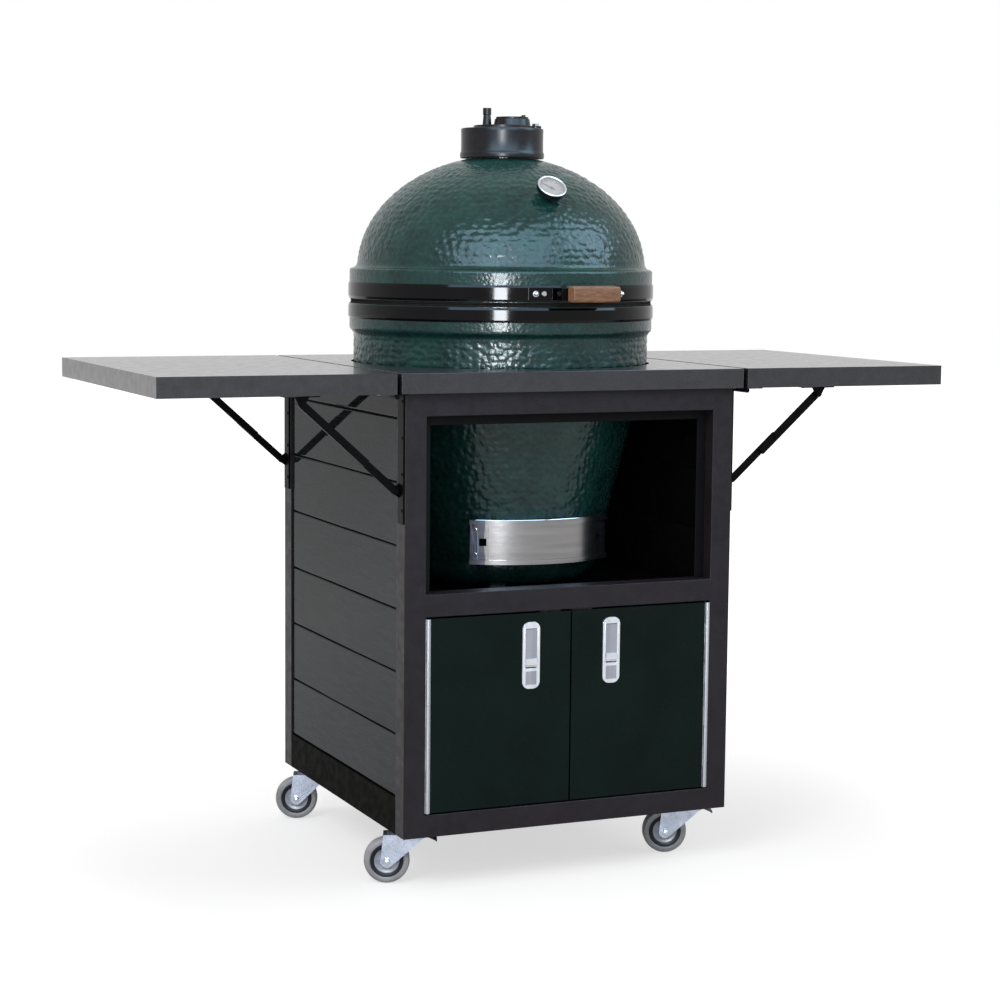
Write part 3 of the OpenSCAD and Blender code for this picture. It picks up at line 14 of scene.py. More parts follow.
import bmesh
import bpy
import numpy as np
from mathutils import Matrix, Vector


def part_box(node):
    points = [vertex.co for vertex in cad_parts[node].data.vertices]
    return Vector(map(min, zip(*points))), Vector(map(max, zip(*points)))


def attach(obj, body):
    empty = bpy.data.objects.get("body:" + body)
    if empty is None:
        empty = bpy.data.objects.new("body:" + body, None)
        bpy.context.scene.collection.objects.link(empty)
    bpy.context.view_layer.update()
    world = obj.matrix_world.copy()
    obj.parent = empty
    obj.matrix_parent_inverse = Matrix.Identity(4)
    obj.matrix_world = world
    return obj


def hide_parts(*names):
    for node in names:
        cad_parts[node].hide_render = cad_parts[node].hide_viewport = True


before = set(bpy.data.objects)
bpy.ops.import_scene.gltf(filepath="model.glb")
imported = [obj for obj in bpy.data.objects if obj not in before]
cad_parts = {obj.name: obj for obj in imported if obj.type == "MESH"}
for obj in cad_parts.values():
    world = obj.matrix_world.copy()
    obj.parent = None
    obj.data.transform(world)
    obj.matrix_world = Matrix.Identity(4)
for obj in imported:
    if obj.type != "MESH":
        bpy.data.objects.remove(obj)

LOG = logging.getLogger("grill_cart")
MM = 0.001
# Outer faces of the cart's frame in millimetres, and the handle's turn off the front in degrees
FRONT_Y, BACK_Y, HALF_W = -335.5, 282.5, 305.0
HANDLE_TURN = 6.5

# Colour of the lamps that only reflections see
SKY = (0.5, 0.76, 1.0)

UP = np.array([0, 0, 1.0])
Triple = tuple[float, float, float]
Test = Callable[[np.ndarray], np.ndarray]
Node = bpy.types.Node
Socket = bpy.types.NodeSocket
Tree = bpy.types.NodeTree


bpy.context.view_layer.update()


def linear(colour: Triple) -> tuple[float, float, float, float]:
    """Turn a colour from 0 to 255 as seen on a screen into the renderer's linear scale.

    Args:
        colour: Red, green and blue from 0 to 255.

    Returns:
        Linear red, green, blue and an alpha of 1.
    """
    part = np.asarray(colour, float) / 255
    low = part / 12.92
    high = ((part + 0.055) / 1.055) ** 2.4
    return (*np.where(part <= 0.04045, low, high).tolist(), 1.0)


# Meshes


@dataclass
class Shape:
    """Vertices and faces of one mesh while it is being worked out, in millimetres."""

    points: list[np.ndarray] = field(default_factory=list)
    quads: list[np.ndarray] = field(default_factory=list)
    tris: list[np.ndarray] = field(default_factory=list)
    tones: list[np.ndarray] = field(default_factory=list)
    count: int = 0

    def add_points(self, points: np.ndarray, tone: float = 0.5) -> int:
        """Append vertices.

        Args:
            points: Array of n by 3 coordinates.
            tone: Value from 0 to 1 that the material can read as the attribute "tone".

        Returns:
            The index of the first new vertex.
        """
        flat = np.asarray(points, float).reshape(-1, 3)
        first = self.count
        self.points.append(flat)
        self.tones.append(np.full(len(flat), tone))
        self.count += len(flat)
        return first

    def add_grid(self, points: np.ndarray, wrap_u: bool = False, wrap_v: bool = False,
                 tone: float = 0.5, keep: Optional[np.ndarray] = None) -> np.ndarray:
        """Append a sheet of quads over a grid of points.

        Args:
            points: Array of u by v by 3 coordinates.
            wrap_u: Join the last row to the first.
            wrap_v: Join the last column to the first.
            tone: Value of the attribute "tone".
            keep: Mask of the quads to make, or None for all.

        Returns:
            The grid's vertex indices, as an array of u by v.
        """
        rows, columns = points.shape[:2]
        index = self.add_points(points, tone) + np.arange(rows * columns).reshape(rows, columns)
        loop = index
        if wrap_u:
            loop = np.concatenate([loop, loop[:1]], 0)
        if wrap_v:
            loop = np.concatenate([loop, loop[:, :1]], 1)
        quad = np.stack([loop[:-1, :-1], loop[1:, :-1], loop[1:, 1:], loop[:-1, 1:]], -1)
        self.quads.append(quad.reshape(-1, 4) if keep is None else quad[keep])
        return index

    def add_fan(self, ring: np.ndarray, centre: np.ndarray, flip: bool = False) -> None:
        """Close a ring of vertices with triangles to a centre point.

        Args:
            ring: Indices round the ring.
            centre: The point in the middle.
            flip: Turn the triangles round.
        """
        middle = self.add_points(np.asarray(centre, float)[None])
        after = np.roll(ring, -1)
        pole = np.full_like(ring, middle)
        order = [after, ring, pole] if flip else [ring, after, pole]
        self.tris.append(np.stack(order, -1))

    def add_bar(self, sections: np.ndarray, flip: bool = True) -> None:
        """Append a bar over a row of sections, with a fan on each end.

        Args:
            sections: Array of stations by points round a section by 3 coordinates.
            flip: Turn the first end's triangles round, or else the last end's.
        """
        index = self.add_grid(sections, wrap_v=True)
        self.add_fan(index[0], sections[0].mean(0), flip=flip)
        self.add_fan(index[-1], sections[-1].mean(0), flip=not flip)

    def add_plate(self, flat: np.ndarray, low: float, high: float) -> None:
        """Append a plate between two heights, over a flat outline of four corners."""
        index = self.add_grid(np.stack([flat + UP * low, flat + UP * high]), wrap_v=True)
        self.quads += [index[1][None, ::-1], index[0][None]]

    def add_lathe(self, profile: Sequence, origin: Sequence, axis: Sequence, steps: int = 64,
                  closed: bool = False) -> "Shape":
        """Append a surface of revolution.

        A point at radius r and height h of the profile goes to
        origin + h * axis + r * (cos a * side + sin a * third), for steps angles a round the circle.
        A profile that starts or ends on the axis is closed there with a fan.

        Args:
            profile: Pairs of radius and height.
            origin: The point on the axis at height 0.
            axis: Direction of the axis.
            steps: Number of columns round the axis.
            closed: Join the profile's last point to its first.

        Returns:
            This shape.
        """
        line = np.asarray(profile, float)
        side, third, along = across(axis)
        angle = circle(steps)[:, None]
        spoke = np.cos(angle) * side + np.sin(angle) * third
        start_pole = not closed and line[0, 0] < 1e-9
        end_pole = not closed and line[-1, 0] < 1e-9
        body = line[int(start_pole):len(line) - int(end_pole)]
        base = np.asarray(origin, float)
        grid = base + body[:, None, 1:2] * along + body[:, None, 0:1] * spoke[None]
        index = self.add_grid(grid, wrap_u=closed, wrap_v=True)
        if start_pole:
            self.add_fan(index[0], base + line[0, 1] * along, flip=True)
        if end_pole:
            self.add_fan(index[-1], base + line[-1, 1] * along)
        return self

    def add_block(self, low: Sequence, high: Sequence, tone: float = 0.5) -> None:
        """Append a box.

        Args:
            low: Lowest corner.
            high: Highest corner.
            tone: Value of the attribute "tone".
        """
        pick = np.array([[0, 0, 0], [1, 0, 0], [1, 1, 0], [0, 1, 0],
                         [0, 0, 1], [1, 0, 1], [1, 1, 1], [0, 1, 1]])
        both = np.stack([np.asarray(low, float), np.asarray(high, float)])
        first = self.add_points(both[pick, np.arange(3)], tone)
        side = np.array([[0, 3, 2, 1], [4, 5, 6, 7], [0, 1, 5, 4],
                         [1, 2, 6, 5], [2, 3, 7, 6], [3, 0, 4, 7]])
        self.quads.append(side + first)

    def moved(self, matrix: Sequence, offset: Sequence) -> "Shape":
        """Turn every vertex so far by a matrix of new axes, move it, and return the shape."""
        self.points = [part @ np.asarray(matrix, float).T + np.asarray(offset, float)
                       for part in self.points]
        return self

    def build(self, name: str, finish: "Finish", body: str, sharp: float = 40.0,
              slot: str = "") -> bpy.types.Object:
        """Make the mesh object.

        The sum over the faces of the centre times the area normal is three times the enclosed
        volume, so a negative sum means that the faces point inwards, and they are turned round.

        Args:
            name: Name of the piece.
            finish: Its finish.
            body: CAD body that it rides on.
            sharp: Angle in degrees above which an edge is shown sharp.
            slot: Material slot of the record, where it isn't the finish's own; not used.

        Returns:
            The new object.
        """
        points = np.concatenate(self.points) * MM
        quads = np.concatenate(self.quads) if self.quads else np.zeros((0, 4), int)
        tris = np.concatenate(self.tris) if self.tris else np.zeros((0, 3), int)
        if signed_volume(points, quads, tris) < 0:
            quads, tris = quads[:, ::-1], tris[:, ::-1]
        mesh = bpy.data.meshes.new(name)
        mesh.vertices.add(len(points))
        mesh.vertices.foreach_set("co", points.astype(np.float32).ravel())
        mesh.loops.add(quads.size + tris.size)
        mesh.loops.foreach_set("vertex_index",
                               np.concatenate([quads.ravel(), tris.ravel()]).astype(np.int32))
        total = np.concatenate([np.full(len(quads), 4), np.full(len(tris), 3)])
        mesh.polygons.add(len(total))
        start = np.concatenate([[0], np.cumsum(total)[:-1]])
        mesh.polygons.foreach_set("loop_start", start.astype(np.int32))
        mesh.update(calc_edges=True)
        tone = mesh.attributes.new("tone", "FLOAT", "POINT")
        tone.data.foreach_set("value", np.concatenate(self.tones).astype(np.float32))
        return finished(name, mesh, finish, body, sharp)


def circle(steps: int) -> np.ndarray:
    """Give equal angles in radians once round the circle, from 0."""
    return np.arange(steps) * 2 * np.pi / steps


def rounded_ring(angle: np.ndarray, power: float) -> np.ndarray:
    """Give points on a superellipse from -1 to 1; a smaller power is squarer."""
    wave = np.stack([np.cos(angle), np.sin(angle)], -1)
    return np.sign(wave) * np.abs(wave) ** power


def half_round(radius: float, rise: float, foot: float, count: int) -> np.ndarray:
    """Give the profile of a domed head, from its edge to the axis.

    Args:
        radius: Radius of its edge.
        rise: Height of the dome.
        foot: Height of its edge.
        count: Number of points.

    Returns:
        Pairs of radius and height.
    """
    arc = np.radians(np.linspace(0, 90, count))
    dome = np.stack([radius * np.cos(arc), foot + rise * np.sin(arc)], -1)
    dome[-1, 0] = 0
    return dome


def outward(degrees: float) -> np.ndarray:
    """Give the level direction out of the grill at an angle off the front, towards +X."""
    way = math.radians(degrees)
    return np.array([math.sin(way), -math.cos(way), 0.0])


def across(axis: Sequence) -> tuple[np.ndarray, np.ndarray, np.ndarray]:
    """Find two directions square to an axis.

    Args:
        axis: Any direction.

    Returns:
        Two unit vectors and the unit axis, in right-handed order.
    """
    along = np.asarray(axis, float)
    along = along / np.linalg.norm(along)
    helper = np.array([1.0, 0, 0]) if abs(along[0]) < 0.9 else np.array([0, 1.0, 0])
    third = np.cross(along, helper)
    third /= np.linalg.norm(third)
    return np.cross(third, along), third, along


def signed_volume(points: np.ndarray, quads: np.ndarray, tris: np.ndarray) -> float:
    """Volume enclosed by the faces, negative if they point inwards.

    Args:
        points: Vertices.
        quads: Faces of four vertices.
        tris: Faces of three vertices.

    Returns:
        The sum of the tetrahedra between the mesh's middle and each triangle.
    """
    faces = np.concatenate([quads[:, [0, 1, 2]], quads[:, [0, 2, 3]], tris])
    local = points - points.mean(0)
    a, b, c = local[faces[:, 0]], local[faces[:, 1]], local[faces[:, 2]]
    return float(np.einsum("ij,ij->i", a, np.cross(b, c)).sum() / 6)


def linked(name: str, data: bpy.types.ID) -> bpy.types.Object:
    """Make an object of some data and put it into the scene."""
    made = bpy.data.objects.new(name, data)
    bpy.context.scene.collection.objects.link(made)
    return made


def finished(name: str, mesh: bpy.types.Mesh, finish: "Finish", body: str, sharp: float) -> bpy.types.Object:
    """Put a mesh into the scene as a piece of the object.

    Args:
        name: Name of the piece.
        mesh: Its mesh, already in place.
        finish: Its finish.
        body: CAD body that it rides on.
        sharp: Angle in degrees above which an edge is shown sharp.

    Returns:
        The new object.
    """
    mesh.polygons.foreach_set("use_smooth", np.ones(len(mesh.polygons), bool))
    mesh.set_sharp_from_angle(angle=math.radians(sharp))
    piece = linked(name, mesh)
    mesh.materials.clear()
    mesh.materials.append(finish.material())
    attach(piece, body)
    LOG.info("%s: %d faces on %s", name, len(mesh.polygons), body)
    return piece


def eased(node: str, width: float, finish: "Finish", body: str = "cart", segments: int = 2,
          others: Sequence[tuple["Finish", Test]] = ()) -> None:
    """Stand a copy of a CAD node with eased edges in for the node.

    The copy's loose triangles are merged and its flat regions joined, and a bevel rounds what is
    left of its sharp edges. Triangles that take another finish are picked by their centres first.

    Args:
        node: Name of the CAD node.
        width: Width of the rounding in millimetres.
        finish: Its finish.
        body: CAD body that it rides on.
        segments: Faces across each rounding.
        others: Pairs of another finish and a test of face centres in millimetres.
    """
    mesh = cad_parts[node].data.copy()
    work = bmesh.new()
    work.from_mesh(mesh)
    bmesh.ops.remove_doubles(work, verts=work.verts, dist=1e-6)
    centres = np.array([face.calc_center_median()[:] for face in work.faces]) / MM
    for number, (_, test) in enumerate(others, 1):
        for face, picked in zip(work.faces, test(centres)):
            face.material_index = number if picked else face.material_index
    bmesh.ops.dissolve_limit(work, angle_limit=math.radians(0.5), verts=work.verts,
                             edges=work.edges, delimit={"MATERIAL"})
    index = np.array([face.material_index for face in work.faces], np.int32)
    work.to_mesh(mesh)
    work.free()
    piece = finished(f"{node}_eased", mesh, finish, body, 30.0)
    for other, _ in others:
        mesh.materials.append(other.material())
    mesh.polygons.foreach_set("material_index", index)
    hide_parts(node)
    bevel = piece.modifiers.new("rounding", "BEVEL")
    bevel.width = width * MM
    bevel.segments = segments
    bevel.limit_method = "ANGLE"
    bevel.angle_limit = math.radians(35)
    piece.modifiers.new("flat_faces", "WEIGHTED_NORMAL").keep_sharp = True


def lined(piece: bpy.types.Object, finish: "Finish", test: Test) -> None:
    """Give some of a piece's faces another finish.

    Args:
        piece: The piece.
        finish: The other finish.
        test: Picks the faces by their centres in millimetres.
    """
    mesh = piece.data
    mesh.materials.append(finish.material())
    centre = np.zeros(len(mesh.polygons) * 3)
    mesh.polygons.foreach_get("center", centre)
    picked = test(centre.reshape(-1, 3) / MM)
    mesh.polygons.foreach_set("material_index", picked.astype(np.int32))


def hashed(cells: np.ndarray, seed: float) -> np.ndarray:
    """Give each integer cell a repeatable point: the fraction of a large multiple of a sine."""
    mix = np.array([[12.9898, 78.233, 37.719], [39.346, 11.135, 83.155], [73.156, 52.235, 9.151]])
    return np.mod(np.sin(cells @ mix.T + seed) * 43758.5453, 1.0)


def pebbles(points: np.ndarray, cell: float, seed: float) -> np.ndarray:
    """Height of a skin of small round pebbles.

    Each cell of a cubic lattice holds one centre. With d the distance to the nearest centre in
    cells, the height is 1 - s(d), where s rises smoothly from 0 to 1 between 0.1 and 0.85.

    Args:
        points: Array of n by 3 coordinates.
        cell: Side of a lattice cell.
        seed: Picks the centres.

    Returns:
        Heights from 0 to 1.
    """
    place = points / cell
    corner = np.floor(place)
    nearest = np.full(len(points), 9.0)
    offsets = np.stack(np.meshgrid([-1, 0, 1], [-1, 0, 1], [-1, 0, 1]), -1).reshape(-1, 3)
    for offset in offsets:
        there = corner + offset
        gap = there + 0.2 + 0.6 * hashed(there, seed) - place
        nearest = np.minimum(nearest, np.einsum("ij,ij->i", gap, gap))
    return 1 - ramp(np.sqrt(nearest), 0.1, 0.85)


def ramp(values: np.ndarray, low: float, high: float) -> np.ndarray:
    """Rise smoothly from 0 at low to 1 at high, with a flat start and end."""
    share = np.clip((values - low) / (high - low), 0, 1)
    return share * share * (3 - 2 * share)


# Finishes


@dataclass
class Wiring:
    """Adds shader nodes to one tree, whose textures are sampled at one vector."""

    tree: Tree
    vector: Optional[Socket] = None

    def feed(self, node: Node, inputs: dict) -> None:
        """Link or set a node's inputs.

        Args:
            node: The node.
            inputs: A socket to link or a plain value, for each input's name or number.
        """
        for name, value in inputs.items():
            if isinstance(value, Socket):
                self.tree.links.new(value, node.inputs[name])
            else:
                node.inputs[name].default_value = value

    def add(self, kind: str, inputs: dict, **settings: object) -> Node:
        """Add a node, set it and feed it.

        Args:
            kind: The node's type, without the word ShaderNode.
            inputs: As for feed.
            settings: The node's own properties.

        Returns:
            The node.
        """
        made = self.tree.nodes.new(f"ShaderNode{kind}")
        for name, value in settings.items():
            setattr(made, name, value)
        self.feed(made, inputs)
        return made

    def noise(self, scale: float, detail: float = 2.0, rough: float = 0.5,
              vector: Optional[Socket] = None) -> Socket:
        """Sample a noise texture, at the wiring's own vector unless another is given."""
        place = self.vector if vector is None else vector
        return self.add("TexNoise", {"Vector": place, "Scale": scale, "Detail": detail,
                                     "Roughness": rough}).outputs["Fac"]

    def cells(self, scale: float, smooth: float = 0.0) -> Socket:
        """Sample the distance to a cell texture's nearest centre, blended if smooth is above 0."""
        inputs = {"Vector": self.vector, "Scale": scale}
        if smooth > 0:
            inputs["Smoothness"] = smooth
        return self.add("TexVoronoi", inputs,
                        feature="SMOOTH_F1" if smooth > 0 else "F1").outputs["Distance"]

    def fit(self, value: Socket, low: float, high: float, to_low: float = 0.0,
            to_high: float = 1.0) -> Socket:
        """Map the range from low to high to another one, and stop at its ends."""
        return self.add("MapRange", {"Value": value, "From Min": low, "From Max": high,
                                     "To Min": to_low, "To Max": to_high},
                        clamp=True).outputs["Result"]

    def plus(self, first: Socket, second: Socket, weight: float) -> Socket:
        """Add a second value times a weight to a first value."""
        return self.add("Math", {0: second, 1: weight, 2: first},
                        operation="MULTIPLY_ADD").outputs["Value"]


# Tint, height and gloss of a surface
Look = tuple[Socket, Socket, Socket]


def hammered(wires: Wiring) -> Look:
    """Hammered powder coat: soft bumps 1 mm apart with pale and dark flecks."""
    flecks = wires.fit(wires.noise(0.9, 1.0), 0.42, 0.7)
    drift = wires.fit(wires.noise(0.012, 3.0), 0.3, 0.7, 0.0, 0.35)
    bumps = wires.fit(wires.cells(0.42, 0.6), 0.1, 0.8)
    return (wires.plus(drift, flecks, 0.65), wires.plus(bumps, wires.noise(0.9, 1.0), 0.5),
            wires.fit(wires.noise(0.06, 3.0), 0.35, 0.65))


def brushed(wires: Wiring) -> Look:
    """Brush lines: noise that the finish stretches along the brush's way."""
    lines = wires.noise(1.2, 3.0, 0.65)
    broad = wires.fit(wires.noise(0.1, 2.0), 0.3, 0.7, 0.0, 0.5)
    return wires.plus(broad, lines, 0.5), lines, wires.fit(lines, 0.3, 0.7)


def glazed(wires: Wiring) -> Look:
    """Glaze: thin on the pebbles and pooled between them, with a fine ripple."""
    pooled = wires.fit(wires.cells(0.11, 0.4), 0.2, 0.75)
    drift = wires.fit(wires.noise(0.02, 4.0), 0.35, 0.65)
    tint = wires.plus(wires.fit(drift, 0.0, 1.0, 0.0, 0.6), pooled, 0.4)
    grains = wires.fit(wires.cells(0.15, 0.2), 0.1, 0.75, 1.0, 0.0)
    return (tint, wires.plus(grains, wires.noise(0.3, 2.0, 0.6), 0.35),
            wires.fit(wires.noise(0.05, 3.0), 0.3, 0.7))


def grained(wires: Wiring) -> Look:
    """Wood grain: bands bent by noise, and short pores."""
    warp = wires.add("TexNoise", {"Vector": wires.vector, "Scale": 0.05, "Detail": 3.0})
    bent = wires.add("VectorMath", {0: warp.outputs["Color"], 1: (9.0, 9.0, 9.0),
                                    2: wires.vector}, operation="MULTIPLY_ADD")
    rings = wires.noise(0.16, 4.0, 0.6, bent.outputs["Vector"])
    pores = wires.fit(wires.noise(0.9, 2.0, 0.7), 0.35, 0.6)
    tint = wires.plus(wires.fit(rings, 0.3, 0.7, 0.0, 0.75), pores, 0.25)
    return tint, wires.plus(rings, pores, 0.6), wires.fit(rings, 0.3, 0.7)


def felted(wires: Wiring) -> Look:
    """Felt: fine matted fibres."""
    fibres = wires.noise(1.6, 4.0, 0.75)
    patches = wires.noise(0.15, 2.0)
    return wires.plus(wires.fit(patches, 0.3, 0.7, 0.0, 0.4), fibres, 0.6), fibres, patches


def cast(wires: Wiring) -> Look:
    """Cast iron: a fine sandy skin with shallow pits."""
    sand = wires.noise(1.1, 3.0, 0.65)
    pits = wires.fit(wires.cells(0.25), 0.05, 0.3)
    return (wires.fit(wires.noise(0.07, 4.0), 0.3, 0.7), wires.plus(sand, pits, 0.35),
            wires.fit(sand, 0.3, 0.7))


def smooth(wires: Wiring) -> Look:
    """Smooth paint: a faint orange peel, with slow changes of tone."""
    return (wires.fit(wires.noise(0.01, 4.0), 0.3, 0.7), wires.noise(0.35, 2.0),
            wires.fit(wires.noise(0.03, 3.0), 0.3, 0.7))


class Effect(Enum):
    """The surface effects that the finishes share, each with its group's name and its recipe."""

    HAMMERED = ("hammered_coat", hammered)
    BRUSHED = ("brush_lines", brushed)
    GLAZED = ("glaze_skin", glazed)
    GRAINED = ("board_grain", grained)
    FELTED = ("felt_fibres", felted)
    CAST = ("cast_skin", cast)
    SMOOTH = ("paint_skin", smooth)

    def group(self) -> Tree:
        """Return the effect's node group, and build it at its first use.

        Returns:
            The group, with inputs Vector and Scale and outputs Tint, Height and Gloss.
        """
        name, recipe = self.value
        tree = bpy.data.node_groups.get(name)
        if tree is not None:
            return tree
        tree = bpy.data.node_groups.new(name, "ShaderNodeTree")
        tree.interface.new_socket("Vector", in_out="INPUT", socket_type="NodeSocketVector")
        tree.interface.new_socket("Scale", in_out="INPUT", socket_type="NodeSocketFloat")
        outputs = ("Tint", "Height", "Gloss")
        for output in outputs:
            tree.interface.new_socket(output, in_out="OUTPUT", socket_type="NodeSocketFloat")
        source = tree.nodes.new("NodeGroupInput").outputs
        wires = Wiring(tree)
        wires.vector = wires.add("VectorMath", {0: source["Vector"], "Scale": source["Scale"]},
                                 operation="SCALE").outputs["Vector"]
        wires.feed(tree.nodes.new("NodeGroupOutput"), dict(zip(outputs, recipe(wires))))
        return tree


def surface(name: str) -> tuple[bpy.types.Material, Wiring, Node]:
    """Start a material.

    Args:
        name: Its name.

    Returns:
        The material, the wiring of its nodes at the object's own coordinates, and its shader.
    """
    made = bpy.data.materials.new(name)
    made.use_nodes = True
    wires = Wiring(made.node_tree)
    wires.vector = wires.add("TexCoord", {}).outputs["Object"]
    return made, wires, next(n for n in made.node_tree.nodes if n.type == "BSDF_PRINCIPLED")


@dataclass(frozen=True)
class Finish:
    """One finish: two tones mixed by an effect, with its own gloss and relief.

    Scale is in waves per millimetre times the effect's own, stretch multiplies the coordinates,
    and relief is the height of the bumps in millimetres.
    """

    name: str
    slot: str
    dark: Triple
    light: Triple
    effect: Effect = Effect.SMOOTH
    scale: float = 1.0
    stretch: Triple = (1.0, 1.0, 1.0)
    relief: float = 0.03
    rough: tuple[float, float] = (0.35, 0.45)
    metallic: float = 0.0
    coat: float = 0.0
    coat_rough: float = 0.05
    specular: float = 0.5
    toned: float = 0.0

    @cache
    def material(self) -> bpy.types.Material:
        """Build the material, once for each finish.

        Returns:
            The material.
        """
        made, wires, shader = surface(self.name)
        place = wires.add("VectorMath", {0: wires.vector, 1: [s / MM for s in self.stretch]},
                          operation="MULTIPLY").outputs["Vector"]
        effect = wires.add("Group", {"Scale": self.scale, "Vector": place},
                           node_tree=self.effect.group()).outputs
        tint = effect["Tint"]
        if self.toned > 0:
            tone = wires.add("Attribute", {}, attribute_name="tone").outputs["Fac"]
            tint = wires.add("Mix", {"Factor": self.toned, "A": tint, "B": tone},
                             data_type="FLOAT").outputs["Result"]
        colour = wires.add("Mix", {"Factor": tint, "A": linear(self.dark),
                                   "B": linear(self.light)}, data_type="RGBA")
        bump = wires.add("Bump", {"Strength": 1.0, "Distance": self.relief * MM,
                                  "Height": effect["Height"]})
        wires.feed(shader, {"Base Color": colour.outputs["Result"],
                            "Roughness": wires.fit(effect["Gloss"], 0.0, 1.0, *self.rough),
                            "Normal": bump.outputs["Normal"], "Metallic": self.metallic,
                            "Specular IOR Level": self.specular, "Coat Weight": self.coat,
                            "Coat Roughness": self.coat_rough})
        return made


@dataclass(frozen=True)
class GlassFinish:
    """Clear glass of the gauge, thin enough to see the dial through."""

    name: str = "gauge_glass"
    slot: str = "lens"
    tint: Triple = (250, 253, 253)
    alpha: float = 0.16

    @cache
    def material(self) -> bpy.types.Material:
        """Build the material, once.

        Returns:
            The material.
        """
        made, wires, shader = surface(self.name)
        effect = wires.add("Group", {"Scale": 1 / MM, "Vector": wires.vector},
                           node_tree=Effect.SMOOTH.group())
        wires.feed(shader, {"Roughness": wires.fit(effect.outputs["Gloss"], 0.0, 1.0, 0.02, 0.05),
                            "Base Color": linear(self.tint), "Alpha": self.alpha})
        return made


